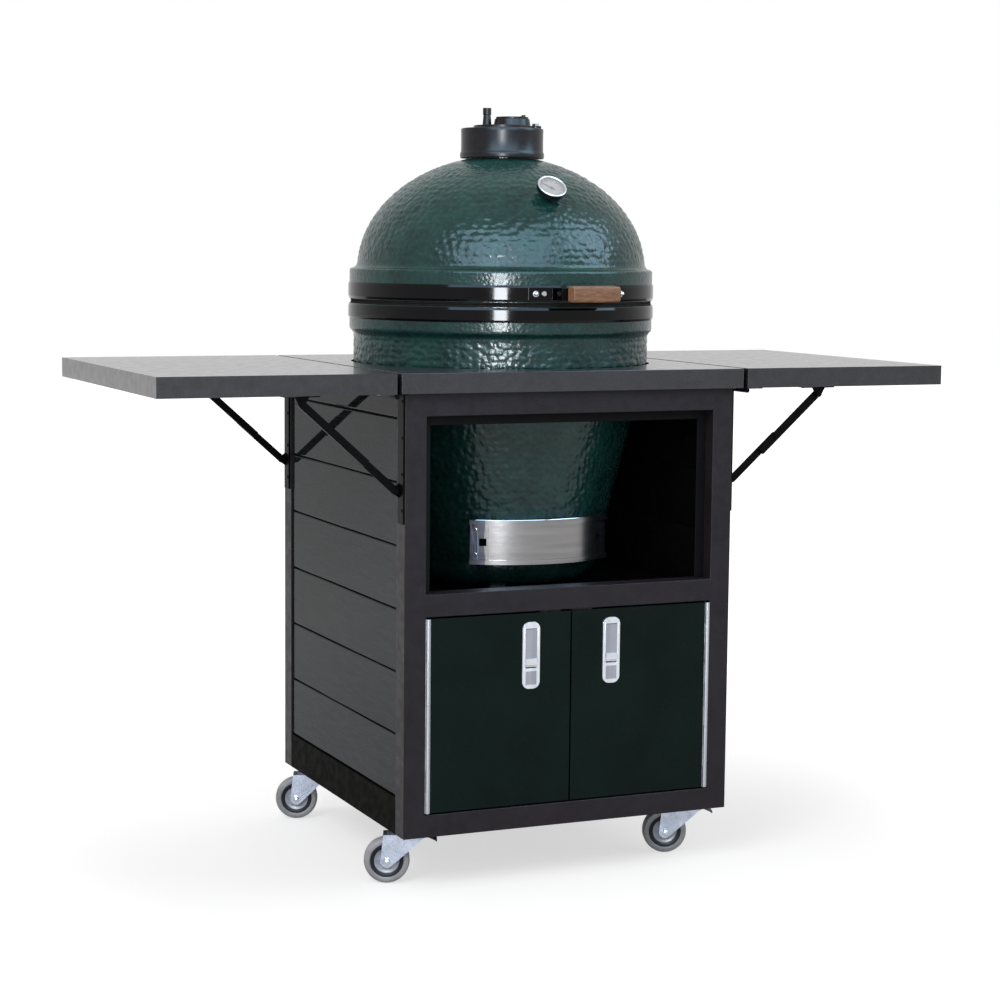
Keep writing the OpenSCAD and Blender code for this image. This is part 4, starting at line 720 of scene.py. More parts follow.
class Finishes:
    """Every finish on the cart and the grill."""

    frame_coat = Finish("frame_coat", "frame_coat", (25, 21, 25), (50, 44, 50), Effect.HAMMERED,
                        relief=0.09, rough=(0.36, 0.48), specular=0.14)
    # Painted shade: a near-black coat for the cabinet's inside faces, where shade falls
    liner = Finish("painted_shade_coat", "liner", (7, 5, 6), (15, 12, 13), Effect.HAMMERED,
                   relief=0.06, rough=(0.5, 0.65), specular=0.06)
    table = Finish("table_coat", "table_coat", (17, 16, 20), (50, 48, 54), Effect.HAMMERED,
                   relief=0.07, rough=(0.30, 0.40), coat=0.6, coat_rough=0.13, specular=0.22)
    boards = Finish("stained_boards", "planks", (11, 13, 15), (48, 53, 57), Effect.GRAINED,
                    stretch=(1.0, 0.12, 1.0), relief=0.02, rough=(0.42, 0.6), toned=0.3,
                    coat=0.34, coat_rough=0.03, specular=0.0)
    rear_boards = replace(boards, name="stained_rear_boards", stretch=(0.12, 1.0, 1.0))
    # Painted dark reflection of the ground: the frame coat made darker for the side kick rails
    shade = Finish("painted_ground_reflection_coat", "frame_coat", (7, 6, 5), (17, 16, 13), Effect.HAMMERED,
                   relief=0.05, rough=(0.4, 0.55), specular=0.01)
    doors = Finish("door_paint", "door_coat", (9, 24, 21), (15, 32, 28), relief=0.012,
                   rough=(0.2, 0.3), specular=0.06)
    steel = Finish("brushed_steel", "stainless", (150, 152, 156), (186, 188, 194), Effect.BRUSHED,
                   stretch=(1.0, 1.0, 0.03), relief=0.006, rough=(0.22, 0.34), metallic=1.0)
    draft_steel = Finish("draft_steel", "stainless", (112, 110, 110), (140, 138, 138),
                         Effect.BRUSHED, stretch=(0.05, 0.05, 1.0), relief=0.003,
                         rough=(0.18, 0.26), metallic=1.0)
    # Painted dark reflection: the draft steel made darker on the frame's end tabs
    tab = replace(draft_steel, name="painted_dark_reflection_tab", dark=(52, 52, 57), light=(76, 76, 82),
                  rough=(0.3, 0.4))
    latch = Finish("latch_steel", "stainless", (180, 181, 184), (212, 213, 216), Effect.BRUSHED,
                   stretch=(1.0, 1.0, 0.04), relief=0.004, rough=(0.28, 0.4), metallic=0.9)
    field = replace(latch, name="latch_field", dark=(126, 126, 132), light=(156, 157, 164),
                    rough=(0.3, 0.4))
    # Polished steel for bolts, nuts and screws; on the paddles' pulls and the draft frame's bead it also
    # serves as a painted highlight
    bright = Finish("polished_steel_and_painted_highlight", "bolts", (176, 178, 184), (210, 212, 218),
                    relief=0.004, rough=(0.08, 0.16), metallic=1.0)
    black = Finish("gloss_black", "black_steel", (5, 3, 6), (11, 8, 13),
                   relief=0.004, rough=(0.07, 0.12), specular=0.15)
    brace = Finish("brace_black", "black_steel", (5, 4, 5), (13, 12, 13), Effect.CAST,
                   relief=0.02, rough=(0.3, 0.42), specular=0.04)
    zinc = Finish("zinc_plate", "zinc", (134, 140, 152), (184, 190, 204), Effect.BRUSHED,
                  stretch=(0.4, 0.4, 0.4), relief=0.01, rough=(0.24, 0.4), metallic=0.95)
    glaze = Finish("green_glaze", "glaze", (12, 45, 43), (27, 69, 65), Effect.GLAZED,
                   relief=0.32, rough=(0.2, 0.3), coat=0.1, coat_rough=0.06, specular=0.24)
    felt = Finish("gasket_felt", "felt", (18, 17, 17), (44, 42, 40), Effect.FELTED,
                  relief=0.35, rough=(0.9, 1.0), specular=0.1)
    clay = Finish("fired_clay", "refractory", (44, 41, 39), (78, 73, 69), Effect.CAST,
                  relief=0.05, rough=(0.75, 0.9), specular=0.2)
    iron = Finish("cast_iron", "cast_iron", (13, 12, 16), (26, 24, 30), Effect.CAST,
                  relief=0.012, rough=(0.26, 0.34), specular=0.24)
    grate = Finish("grate_iron", "cast_iron", (26, 24, 23), (52, 48, 45), Effect.CAST,
                   relief=0.09, rough=(0.5, 0.7))
    wood = Finish("oiled_wood", "grip_wood", (98, 64, 42), (166, 122, 88), Effect.GRAINED,
                  scale=2.2, stretch=(0.1, 1.0, 1.0), relief=0.05, rough=(0.45, 0.6),
                  specular=0.2)
    dial = Finish("dial_face", "dial", (140, 140, 144), (172, 172, 176),
                  relief=0.004, rough=(0.35, 0.45))
    ink = Finish("dial_ink", "needle", (14, 14, 15), (28, 28, 30),
                 relief=0.003, rough=(0.35, 0.5))
    tread = Finish("grey_tread", "wheel", (142, 142, 146), (176, 176, 180),
                   scale=3.0, relief=0.03, rough=(0.45, 0.6), specular=0.3)
    guard = Finish("dark_guard", "wheel", (12, 12, 18), (24, 24, 32),
                   relief=0.02, rough=(0.35, 0.5), specular=0.15)
    hub = Finish("pale_hub", "wheel", (150, 156, 170), (184, 190, 204),
                 relief=0.02, rough=(0.28, 0.4))
    pedal = Finish("moulded_black", "pedal", (20, 20, 21), (38, 38, 40), Effect.CAST,
                   relief=0.03, rough=(0.4, 0.55), specular=0.3)
    glass = GlassFinish()


FINISHES = Finishes()


# The grill


@dataclass(frozen=True)
class Slot:
    """An opening in the front of a revolved shell.

    Outer rows first to last and inner rows first to last bound it, with half its columns on each
    side of the front.
    """

    outer: tuple[int, int]
    inner: tuple[int, int]
    half: int

    def border(self, index: np.ndarray, first: int, last: int) -> np.ndarray:
        """List the vertices round the opening on one of the shell's faces.

        Args:
            index: Vertex indices of the grid.
            first: Row of the opening's lower edge.
            last: Row of its upper edge.

        Returns:
            The indices up the left side, along the top, down the right side and back.
        """
        step = 1 if last > first else -1
        rows = np.arange(first, last + step, step)
        middle = index.shape[1] * 3 // 4
        columns = np.arange(middle - self.half, middle + self.half + 1)
        return np.concatenate([index[rows[:-1], columns[0]], index[last, columns[:-1]],
                               index[rows[:0:-1], columns[-1]], index[first, columns[:0:-1]]])

    def cut(self, keep: np.ndarray, first: int, last: int) -> None:
        """Take the opening's quads between two rows out of a mask of the grid's quads."""
        middle = keep.shape[1] * 3 // 4
        keep[min(first, last):max(first, last), middle - self.half:middle + self.half] = False

    def strip(self, index: np.ndarray) -> np.ndarray:
        """Make the quads of the opening's wall.

        Args:
            index: Vertex indices of the grid.

        Returns:
            Quads that join the outer border to the inner one.
        """
        outside = self.border(index, *self.outer)
        inside = self.border(index, *self.inner)
        return np.stack([outside, np.roll(outside, -1), np.roll(inside, -1), inside], -1)


@dataclass
class Grill:
    """The glazed grill: shells, bands, handle, gauge, cap and draft parts."""

    axis_y: float = -24.5
    table_z: float = 870.0
    base_r: float = 264.0
    base_low_r: float = 178.0
    base_drop: float = 385.0
    base_edge_r: float = 38.0
    wall: float = 27.0
    rim_r: float = 271.0
    rim_low: float = 56.0
    rim_top: float = 104.0
    dome_low: float = 112.0
    dome_r: float = 258.0
    dome_rise: float = 203.0
    dome_mid: float = 163.0
    neck_r: float = 62.0
    neck_bore_r: float = 46.0
    neck_top: float = 405.7
    cell: float = 10.4
    relief: float = 1.45
    columns: int = 480
    slot_low: float = -332.0
    slot_high: float = -271.0
    slot_half: float = 82.0
    gauge_h: float = 293.0
    bolt_h: float = 127.0
    bolt_r: float = 276.1
    grip_r: float = 312.0
    cap_low: float = 361.0
    cap_top: float = 414.0
    pin_x: float = 55.0
    pin_y: float = -23.0
    draft_r: float = 215.9
    tab_angle: float = 30.0
    screw_angle: float = 34.5
    lip_angle: float = 36.6
    lip_r: float = 217.2
    lip_h: float = -263.4

    @property
    def origin(self) -> np.ndarray:
        """The point on the grill's axis at the height of the table top."""
        return np.array([0.0, self.axis_y, self.table_z])

    def skin(self, outer: np.ndarray, inner: np.ndarray, mask: Callable, name: str, body: str,
             nodes: Sequence[str], seed: float, slot: Optional[Slot] = None) -> None:
        """Build one glazed shell with pebbles on its outside.

        The outside is the revolved profile moved out along its normal by relief times the
        pebble height times the mask. The inside is the plain revolved profile, and both are
        joined into one closed skin.

        Args:
            outer: Radius and height along the outside, from one edge to the other.
            inner: Radius and height along the inside, back to the first edge.
            mask: Gives the share of relief at each height.
            name: Name of the piece.
            body: CAD body that it rides on.
            nodes: CAD nodes that it stands for.
            seed: Picks the pebbles.
            slot: Opening in the front of a shell that starts and ends on the axis, or None for a
                shell that is a ring.
        """
        step = np.gradient(outer, axis=0)
        normal = np.stack([-step[:, 1], step[:, 0]], -1)
        normal /= np.linalg.norm(normal, axis=1, keepdims=True) + 1e-12
        if (normal[:, 0] * outer[:, 0]).sum() < 0:
            normal = -normal
        angle = circle(self.columns)
        spoke = np.stack([np.cos(angle), np.sin(angle), np.zeros_like(angle)], -1)
        place = outer[:, 0, None, None] * spoke + outer[:, 1, None, None] * UP
        way = normal[:, 0, None, None] * spoke + normal[:, 1, None, None] * UP
        height = pebbles(place.reshape(-1, 3), self.cell, seed).reshape(place.shape[:2])
        lift = self.relief * (height - 1.0) * mask(outer[:, 0], outer[:, 1])[:, None]
        place = place + lift[:, :, None] * way
        back = inner[:, 0, None, None] * spoke + inner[:, 1, None, None] * UP
        shell = np.concatenate([place, back]) + self.origin
        shape = Shape()
        if slot is None:
            shape.add_grid(shell, wrap_u=True, wrap_v=True)
        else:
            keep = np.ones((len(shell) - 3, self.columns), bool)
            slot.cut(keep, *slot.outer)
            slot.cut(keep, *slot.inner)
            index = shape.add_grid(shell[1:-1], wrap_v=True, keep=keep)
            shape.quads.append(slot.strip(index))
            shape.add_fan(index[0], shell[0, 0], flip=True)
            shape.add_fan(index[-1], shell[-1, 0])
        piece = shape.build(name, FINISHES.glaze, body, 60.0)
        lined(piece, FINISHES.clay, self.inside(outer))
        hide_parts(*nodes)

    def inside(self, outer: np.ndarray) -> Test:
        """Make the test that picks a shell's bare inner faces.

        A face is inside when it lies more than half a wall in from the outside's radius at its
        height, and more than half a wall above the outside's lowest point.

        Args:
            outer: Radius and height along the outside.

        Returns:
            The test on face centres in millimetres.
        """
        height = np.maximum.accumulate(outer[:, 1])

        def picked(centre: np.ndarray) -> np.ndarray:
            """Say which face centres lie inside the shell."""
            place = centre - self.origin
            edge = np.interp(place[:, 2], height, outer[:, 0]) - self.wall / 2
            deep = place[:, 2] > height[0] + (self.wall / 2 if outer[0, 0] < 1 else -1)
            return (np.hypot(place[:, 0], place[:, 1]) < edge) & deep

        return picked

    def dome(self) -> None:
        """Build the dome: rim, fillet, half ellipse and neck, hollow inside."""
        first, last = math.radians(3.5), math.acos(self.neck_r / self.dome_r)
        arc = np.linspace(first, last, 126)
        body = np.stack([self.dome_r * np.cos(arc),
                         self.dome_mid + self.dome_rise * np.sin(arc)], -1)
        top = self.dome_mid + 2
        fillet_t = np.linspace(0, 1, 7)[1:-1, None]
        corner = np.array([self.dome_r + 1.5, top + 1.5])
        edge = np.array([self.rim_r - 4, top + 1.0])
        fillet = ((1 - fillet_t) ** 2 * edge + 2 * fillet_t * (1 - fillet_t) * corner
                  + fillet_t ** 2 * body[0])
        turn = np.radians(np.linspace(0, 90, 7))[:, None]
        shoulder = np.array([self.rim_r - 5, top - 4]) + 5 * np.concatenate(
            [np.cos(turn), np.sin(turn)], 1)
        flange = np.stack([np.full(8, self.rim_r), np.linspace(self.dome_low, top - 6, 8)], -1)
        neck = np.array([[self.neck_r, self.neck_top]])
        outer = np.concatenate([flange, shoulder, fillet, body, neck])
        bore = math.acos(self.neck_bore_r / (self.dome_r - self.wall))
        inside = np.linspace(bore, first, 26)
        inner = np.concatenate([
            [[self.neck_bore_r, self.neck_top]],
            np.stack([(self.dome_r - self.wall) * np.cos(inside),
                      self.dome_mid + (self.dome_rise - self.wall) * np.sin(inside)], -1),
            [[self.rim_r - self.wall - 3, top], [self.rim_r - self.wall - 3, self.dome_low]]])
        self.skin(outer, inner, lambda r, z: ramp(z, top + 8, top + 26) * ramp(-z, -356, -346),
                  "dome_glazed", "dome", ("dome_shell", "dome_shoulder", "dome_crown"), 1.7)

    def base(self) -> None:
        """Build the base: rim, groove, long cone and rounded foot, hollow inside."""
        turn = np.radians(np.linspace(-90, 0, 14))
        foot = np.stack([self.base_low_r + self.base_edge_r * (np.cos(turn) - 1),
                         -self.base_drop + self.base_edge_r * (1 + np.sin(turn))], -1)
        rise = np.linspace(0, 1, 126)[1:, None]
        low, high = foot[-1], np.array([self.base_r - 3, -15.0])
        cone = low + rise * (high - low)
        sill, head = np.array([[self.base_r - 0.6, -6], [self.base_r, self.rim_low - 6]])
        upper = sill + np.linspace(0, 1, 24)[:, None] * (head - sill)
        upper[:, 0] = np.interp(upper[:, 1], [-6, 6, 50], [self.base_r - 0.6, self.base_r,
                                                          self.base_r])
        lip = np.array([[self.rim_r - 3.4, self.rim_low - 0.6],
                        [self.rim_r - 1.2, self.rim_low + 1], [self.rim_r, self.rim_low + 4]])
        side = np.stack([np.full(6, self.rim_r), np.linspace(self.rim_low + 8, self.rim_top, 6)],
                        -1)
        outer = np.concatenate([[[0.0, -self.base_drop], [foot[0, 0] * 0.5, -self.base_drop]],
                                foot, cone, upper, lip, side])
        in_low = self.base_low_r - self.wall
        floor = -self.base_drop + self.wall
        mouth = self.rim_r - self.wall - 3
        top = np.array([self.base_r - self.wall - 4, -15.0])
        first = int(np.argmin(np.abs(outer[:, 1] - self.slot_low) + (outer[:, 0] < 1)))
        last = int(np.argmin(np.abs(outer[:, 1] - self.slot_high)))
        heights = outer[first:last + 1, 1][::-1]
        beside = in_low + (top[0] - in_low) * (heights - floor - 14) / (top[1] - floor - 14)
        inner = np.concatenate([[[mouth, self.rim_top], [mouth, 20.0], top],
                                np.stack([beside, heights], -1),
                                [[in_low, floor + 14], [in_low - 12, floor], [0.0, floor]]])
        across_slot = math.asin(self.slot_half / outer[(first + last) // 2, 0])
        # The grid has no row for the pole, and three inner points stand above the opening's rows
        start = len(outer) + 2
        slot = Slot((first - 1, last - 1), (start + last - first, start),
                    round(across_slot / (2 * math.pi) * self.columns))
        self.skin(outer, inner,
                  lambda r, z: ramp(z, -self.base_drop + 12, -self.base_drop + 44)
                  * ramp(-z, -(self.rim_low - 6), -(self.rim_low - 16)),
                  "base_glazed", "cart", ("base_shell", "base_cup", "base_floor"), 6.1, slot)

    def bands(self) -> None:
        """Dress the clamp bands, the felts and the handle's bracket."""
        for node, body in (("base_band", "cart"), ("dome_band", "dome"),
                           ("handle_bracket", "dome")):
            eased(node, 0.5, FINISHES.black, body)
        for node, body in (("base_gasket", "cart"), ("dome_gasket", "dome")):
            self.felt_ring(node, body)

    def felt_ring(self, node: str, body: str) -> None:
        """Build a felt ring whose outer edge wavers a little.

        The ring's profile is a rectangle with a bulged outer side, carried round the axis. Its
        radius gains two small sines of the angle.

        Args:
            node: CAD node that it stands for.
            body: CAD body that it rides on.
        """
        low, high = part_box(node)
        z0, z1 = low.z / MM, high.z / MM
        outer = high.x / MM
        angle = circle(240)
        waver = 0.25 * np.sin(13 * angle + z0) + 0.2 * np.sin(29 * angle)
        line = np.array([[-24, z0 + 0.1], [-1.5, z0], [-0.7, z0 + 0.6], [-0.4, (z0 + z1) / 2],
                         [-0.7, z1 - 0.6], [-1.5, z1], [-24, z1 - 0.1]])
        radius = outer + line[:, None, 0] + np.minimum(waver, 0.35)[None] * (line[:, None, 0] > -5)
        grid = np.stack([radius * np.cos(angle), radius * np.sin(angle) + self.axis_y,
                         np.broadcast_to(line[:, None, 1], radius.shape)], -1)
        shape = Shape()
        shape.add_grid(grid, wrap_u=True, wrap_v=True)
        piece = shape.build(f"{node}_felt", FINISHES.felt, body)
        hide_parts(node)

    def bolts(self) -> None:
        """Build the handle's washers and cap nuts and the nut on the cap's pivot.

        A cap nut is a six-sided ring with a half round on it: the dome's radius falls as the
        cosine of its height angle.
        """
        shape = Shape()
        z = self.table_z + self.bolt_h
        for angle in (-15, 15, -18, 18):
            axis = outward(HANDLE_TURN + angle)
            at = np.array([0, self.axis_y, z]) + axis * self.bolt_r
            if abs(angle) == 18:
                shape.add_lathe([(0, 0), (5.2, 0), (5.2, 0.8), (0, 0.8)], at, axis, 32)
                shape.add_lathe([(0, 0.8), (4.3, 0.8), (4.3, 3.4), (3.8, 4.0), (0, 4.0)], at,
                                axis, 6)
                cap = half_round(3.4, 2.6, 3.8, 8)
                shape.add_lathe([(0, 3.7), (3.4, 3.7), *cap], at, axis, 24)
            else:
                shape.add_lathe([(0, 0), (4.5, 0), (4.5, 1.6), (3.6, 2.5), (0, 2.5)], at, axis, 24)
        top = self.origin + [self.pin_x, self.pin_y, 419.6]
        shape.add_lathe([(0, 0), (7, 0), (7, 3.2), (6.3, 4), (0, 4)], top, UP, 6)
        piece = shape.build("band_nuts", FINISHES.bright, "dome", 30.0)
        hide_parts("band_bolts")

    def grip(self) -> None:
        """Build the wooden grip: a block whose section swells a little in the middle.

        Each station along the grip holds a rounded rectangle, a superellipse of power 7 whose
        half sizes grow by a half-sine towards the middle and shrink at the rounded ends.
        """
        low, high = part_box("handle_grip")
        out = outward(HANDLE_TURN)
        side = np.cross(UP, out)
        z = (low.z + high.z) / 2 / MM
        middle = np.array([0, self.axis_y, z]) + out * self.grip_r
        half, deep, tall = 46.6, 10.7, 13.6
        spot = np.linspace(-1, 1, 41)
        ends = np.clip(1 - np.abs(spot), 0, 0.06) / 0.06
        close = 0.86 + 0.14 * np.sqrt(np.clip(1 - (1 - ends) ** 2, 0, 1))
        swell = close * (0.985 + 0.015 * np.cos(spot * np.pi / 2))
        ring = rounded_ring(circle(48), 2 / 7)
        shape = Shape()
        shape.add_bar(middle + spot[:, None, None] * half * side
                      + swell[:, None, None] * (ring[None, :, 0:1] * deep * out
                                                + ring[None, :, 1:2] * tall * UP))
        piece = shape.build("handle_grip_wood", FINISHES.wood, "dome", 50.0)
        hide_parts("handle_grip")

    def gauge(self) -> None:
        """Build the thermometer: case, rolled rim, dial with ticks, needle and glass."""
        share = (self.gauge_h - self.dome_mid) / self.dome_rise
        seat_r = self.dome_r * math.sqrt(1 - share ** 2)
        tilt = math.atan2(share / self.dome_rise, seat_r / self.dome_r ** 2)
        out = np.array([0, -math.cos(tilt), math.sin(tilt)])
        seat = self.origin + np.array([0, -seat_r, self.gauge_h])
        case = [(0, -74), (3, -73), (5, -70), (5, 0.4), (9, 0.4), (9, 2), (6, 3), (6, 10), (22, 10),
                (24.8, 11.2), (25.8, 14), (25.8, 19), (24, 19), (24, 16), (0, 16)]
        piece = Shape().add_lathe(case, seat, out).build("gauge_case", FINISHES.iron, "dome", 35.0,
                                                         "stainless")
        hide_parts("thermometer_case")
        roll = circle(12)
        rim = np.stack([24.0 + 1.9 * np.cos(roll), 21.0 + 1.9 * np.sin(roll)], -1)
        Shape().add_lathe(rim, seat, out, 72, closed=True).build("gauge_rim", FINISHES.latch,
                                                                 "dome")
        dial = [(0, 16.2), (23.8, 16.2), (23.8, 17.0), (0, 17.0)]
        piece = Shape().add_lathe(dial, seat, out).build("gauge_dial", FINISHES.dial, "dome")
        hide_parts("thermometer_dial")
        side = np.array([1.0, 0, 0])
        facing = np.stack([side, np.cross(out, side), out], -1)
        ticks = Shape()
        for number, degrees in enumerate(np.linspace(-135, 135, 28)):
            way = math.radians(degrees)
            reach = np.array([math.sin(way), math.cos(way), 0])
            wide = np.array([math.cos(way), -math.sin(way), 0])
            start, wide = (15.5, wide * 0.6) if number % 3 == 0 else (18.0, wide * 0.35)
            ticks.add_plate(np.array([reach * start - wide, reach * start + wide,
                                      reach * 21.0 + wide, reach * 21.0 - wide]), 17.05, 17.2)
        ticks.moved(facing, seat).build("gauge_ticks", FINISHES.ink, "dome", slot="dial")
        self.needle(seat, facing)
        arc = np.linspace(0, 1, 8)
        front = np.stack([23.4 * (1 - arc), 21.3 + 0.9 * (1 - (1 - arc) ** 2)], -1)
        lens = Shape().add_lathe([(0, 20.4), (23.4, 20.4), *front], seat, out)
        piece = lens.build("gauge_lens", FINISHES.glass, "dome")
        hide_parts("thermometer_lens")

    @staticmethod
    def needle(seat: np.ndarray, facing: np.ndarray) -> None:
        """Build the gauge's needle on its own body.

        Args:
            seat: The gauge's seat on the dome.
            facing: Matrix of the gauge's own axes.
        """
        shape = Shape()
        way = math.radians(140)
        along = np.array([math.cos(way), math.sin(way), 0])
        wide = np.array([-math.sin(way), math.cos(way), 0])
        shape.add_plate(np.array([along * -7 - wide * 1.3, along * -7 + wide * 1.3,
                                  along * 19 + wide * 0.4, along * 19 - wide * 0.4]), 17.6, 18.2)
        shape.add_lathe([(0, 17.4), (3, 17.4), (3, 18.6), (2.2, 19.1), (0, 19.1)], (0, 0, 0), UP,
                        24)
        piece = shape.moved(facing, seat).build("gauge_needle", FINISHES.ink, "needle")
        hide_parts("thermometer_needle")

    def cap(self) -> None:
        """Build the cast ring on the neck, and dress its sliding plate and daisy wheel."""
        low, high = self.table_z + self.cap_low, self.table_z + self.cap_top
        ring = Shape()
        ring.add_lathe([(63.2, 0.2), (73.4, 0.2), (74.6, 1.2), (75, 3), (75, 8), (74.7, 9.6),
                        (73.8, 11), (73.3, 13), (73.1, 28), (73.2, 44), (73.5, 47), (73.5, 51),
                        (72.9, 52.4), (71.5, 53), (58, 53), (56.8, 52.6), (46.4, 52.4),
                        (46.2, 45.4), (63.2, 45.2)], (0, self.axis_y, low), UP, 128, closed=True)
        ring.add_lathe([(0, 0), (4, 0), (4, 6.4), (3.4, 7), (0, 7)],
                       (self.pin_x, self.axis_y + self.pin_y, high - 1), UP, 24)
        piece = ring.build("cap_ring_cast", FINISHES.iron, "dome", 35.0)
        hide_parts("cap_ring")
        eased("vent_plate", 0.7, FINISHES.iron, "vent")
        eased("daisy_wheel", 0.5, FINISHES.iron, "daisy")

    def insides(self) -> None:
        """Dress the fire parts, the grid and the feet."""
        for node, width in (("firebox", 1.5), ("firebox_skirt", 0.8), ("fire_ring", 1.5),
                            ("grill_feet", 2.0)):
            eased(node, width, FINISHES.clay)
        eased("fire_grate", 1.0, FINISHES.grate)
        eased("cooking_grid", 0.9, FINISHES.steel)

    def draft(self) -> None:
        """Dress the draft frame and its sliding door, and add the frame's screws.

        A screw head is a low cone, lathed about the way out at its angle round the grill.
        """
        def on_tab(centre: np.ndarray) -> np.ndarray:
            """Say which face centres lie on the frame's end tabs."""
            slope = math.tan(math.radians(self.tab_angle))
            return np.abs(centre[:, 0]) > (self.axis_y - centre[:, 1]) * slope

        # The frame's end tabs take the painted dark reflection
        eased("draft_frame", 0.35, FINISHES.draft_steel, others=((FINISHES.tab, on_tab),))
        eased("draft_door", 0.3, FINISHES.draft_steel, "draft_door")
        shape = Shape()
        for angle in (-self.screw_angle, self.screw_angle):
            axis = outward(angle)
            for height in (-323.0, -280.0):
                shape.add_lathe([(0, 0), (3.2, 0), (2.6, 0.22), (0, 0.3)],
                                self.origin + axis * self.draft_r + UP * height, axis, 20)
        shape.build("draft_screws", FINISHES.bright, "cart", slot="stainless")
        self.draft_lip()

    def draft_lip(self) -> None:
        """Build the polished bead along the draft frame's upper edge: a real rolled edge, in steel brighter
        than the frame's as a painted highlight.

        Its section is a circle of 1.5 mm radius, carried along a level arc about the grill's axis.
        The first and last stations shrink to close the ends.
        """
        stations, thick = 61, 1.5
        way = np.radians(np.linspace(-self.lip_angle, self.lip_angle, stations))[:, None]
        close = np.clip(np.abs(np.linspace(-1, 1, stations)) * 31 - 30, 0, 0.96)[:, None]
        size = thick * np.sqrt(1 - close ** 2)
        ring = circle(12)
        radius, height = self.lip_r + size * np.cos(ring), self.lip_h + size * np.sin(ring)
        shape = Shape()
        shape.add_bar(np.stack([radius * np.sin(way), -radius * np.cos(way), height], -1)
                      + self.origin, flip=False)
        # Painted highlight: the bead takes polished steel, brighter than the frame's
        shape.build("draft_lip", FINISHES.bright, "cart", slot="stainless")

    def build(self) -> None:
        """Build every part of the grill."""
        for part in (self.dome, self.base, self.bands, self.bolts, self.grip, self.gauge, self.cap,
                     self.insides, self.draft):
            part()


# The cart


@dataclass
class Cladding:
    """The stained boards on both sides and the back, each with a tongue that closes its gap."""

    pitch: float = 106.0
    gap: float = 1.6
    thick: float = 12.0
    low_z: float = 157.0
    high_z: float = 836.0
    stations: int = 60
    side_l: float = 541.6
    rear_l: float = 533.6
    set_in: float = 3.0

    def board(self, shape: Shape, length: float, z0: float, z1: float, tone: float,
              seed: float) -> None:
        """Add one board, drawn along X with its outer face at y = 0.

        Its section is a rectangle with rounded corners. Along the board the outer face swells and
        the lower and upper edges wander by small sums of sines.

        Args:
            shape: Shape to add to.
            length: Length of the board.
            z0: Height of its lower edge.
            z1: Height of its upper edge.
            tone: Value of the attribute "tone".
            seed: Shifts the sines.
        """
        along = np.linspace(-length / 2, length / 2, self.stations)
        wave = np.sin(along / 61 + seed) + 0.6 * np.sin(along / 27 + 2.3 * seed)
        low = z0 + 0.1 + 0.28 * (1 + wave / 1.6)
        high = z1 - 0.1 - 0.22 * (1 + np.sin(along / 73 + 1.7 * seed))
        face = 0.12 * np.sin(along / 90 + seed) + 0.12
        r, t = 1.6, self.thick
        middle = (low + high) / 2
        rows = [(0.0, low + r), (0.5, low + 0.5), (r, low), (t - 1, low), (t, low + 1),
                (t, middle), (t, high - 1), (t - 1, high), (r, high), (0.5, high - 0.5),
                (0.0, high - r), (-0.004, high - r - 1), (-0.06, (middle + high) / 2),
                (-0.08, middle), (-0.06, (middle + low) / 2), (-0.004, low + r + 1)]
        grid = np.stack([np.stack([along, np.broadcast_to(y, along.shape)
                                   + face * (t - np.asarray(y)) / t, z + 0 * along], -1)
                         for y, z in rows])
        index = shape.add_grid(grid, wrap_u=True, tone=tone)
        ends = grid.mean(0)
        shape.add_fan(index[:, 0], ends[0])
        shape.add_fan(index[:, -1], ends[-1], flip=True)

    def wall(self, name: str, node: str, length: float, matrix: Sequence, offset: Sequence,
             finish: Finish, seed: float) -> None:
        """Build one wall of boards.

        Args:
            name: Name of the piece.
            node: CAD node that it stands for.
            length: Length of its boards.
            matrix: Turns the wall from X to its own way.
            offset: Place of the wall's middle.
            finish: The boards' finish.
            seed: Makes each wall differ.
        """
        shape = Shape()
        count = math.ceil((self.high_z - self.low_z) / self.pitch)
        for number in range(count):
            z0 = self.low_z + number * self.pitch + self.gap / 2
            z1 = min(self.low_z + (number + 1) * self.pitch, self.high_z) - self.gap / 2
            tone = float(np.mod(math.sin(number * 7.31 + seed * 3.7) * 51.7, 1.0))
            self.board(shape, length, z0, z1, tone, number * 1.9 + seed)
            if number:
                shape.add_block((-length / 2 + 1, self.thick * 0.4, z0 - self.gap - 2),
                                (length / 2 - 1, self.thick * 0.7, z0 + 2), 0.0)
        piece = shape.moved(matrix, offset).build(name, finish, "cart", 50.0)
        out = -np.asarray(matrix, float)[:, 1]
        depth = float(np.asarray(offset, float) @ out) - 2.0
        # Painted shade: the boards' inner faces and the tongues seen through the gaps take the near-black
        # coat
        lined(piece, FINISHES.liner, lambda centre: centre @ out < depth)
        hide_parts(node)

    def build(self) -> None:
        """Build the three walls."""
        middle_y = (FRONT_Y + BACK_Y) / 2
        for side, sign, seed in (("right", 1, 0.4), ("left", -1, 2.2)):
            self.wall(f"{side}_boards", "side_planks", self.side_l,
                      ((0, -sign, 0), (1, 0, 0), UP),
                      (sign * (HALF_W - self.set_in), middle_y, 0), FINISHES.boards, seed)
        self.wall("rear_boards", "back_planks", self.rear_l, ((1, 0, 0), (0, -1, 0), UP),
                  (0, BACK_Y - self.set_in, 0), FINISHES.rear_boards, 5.0)


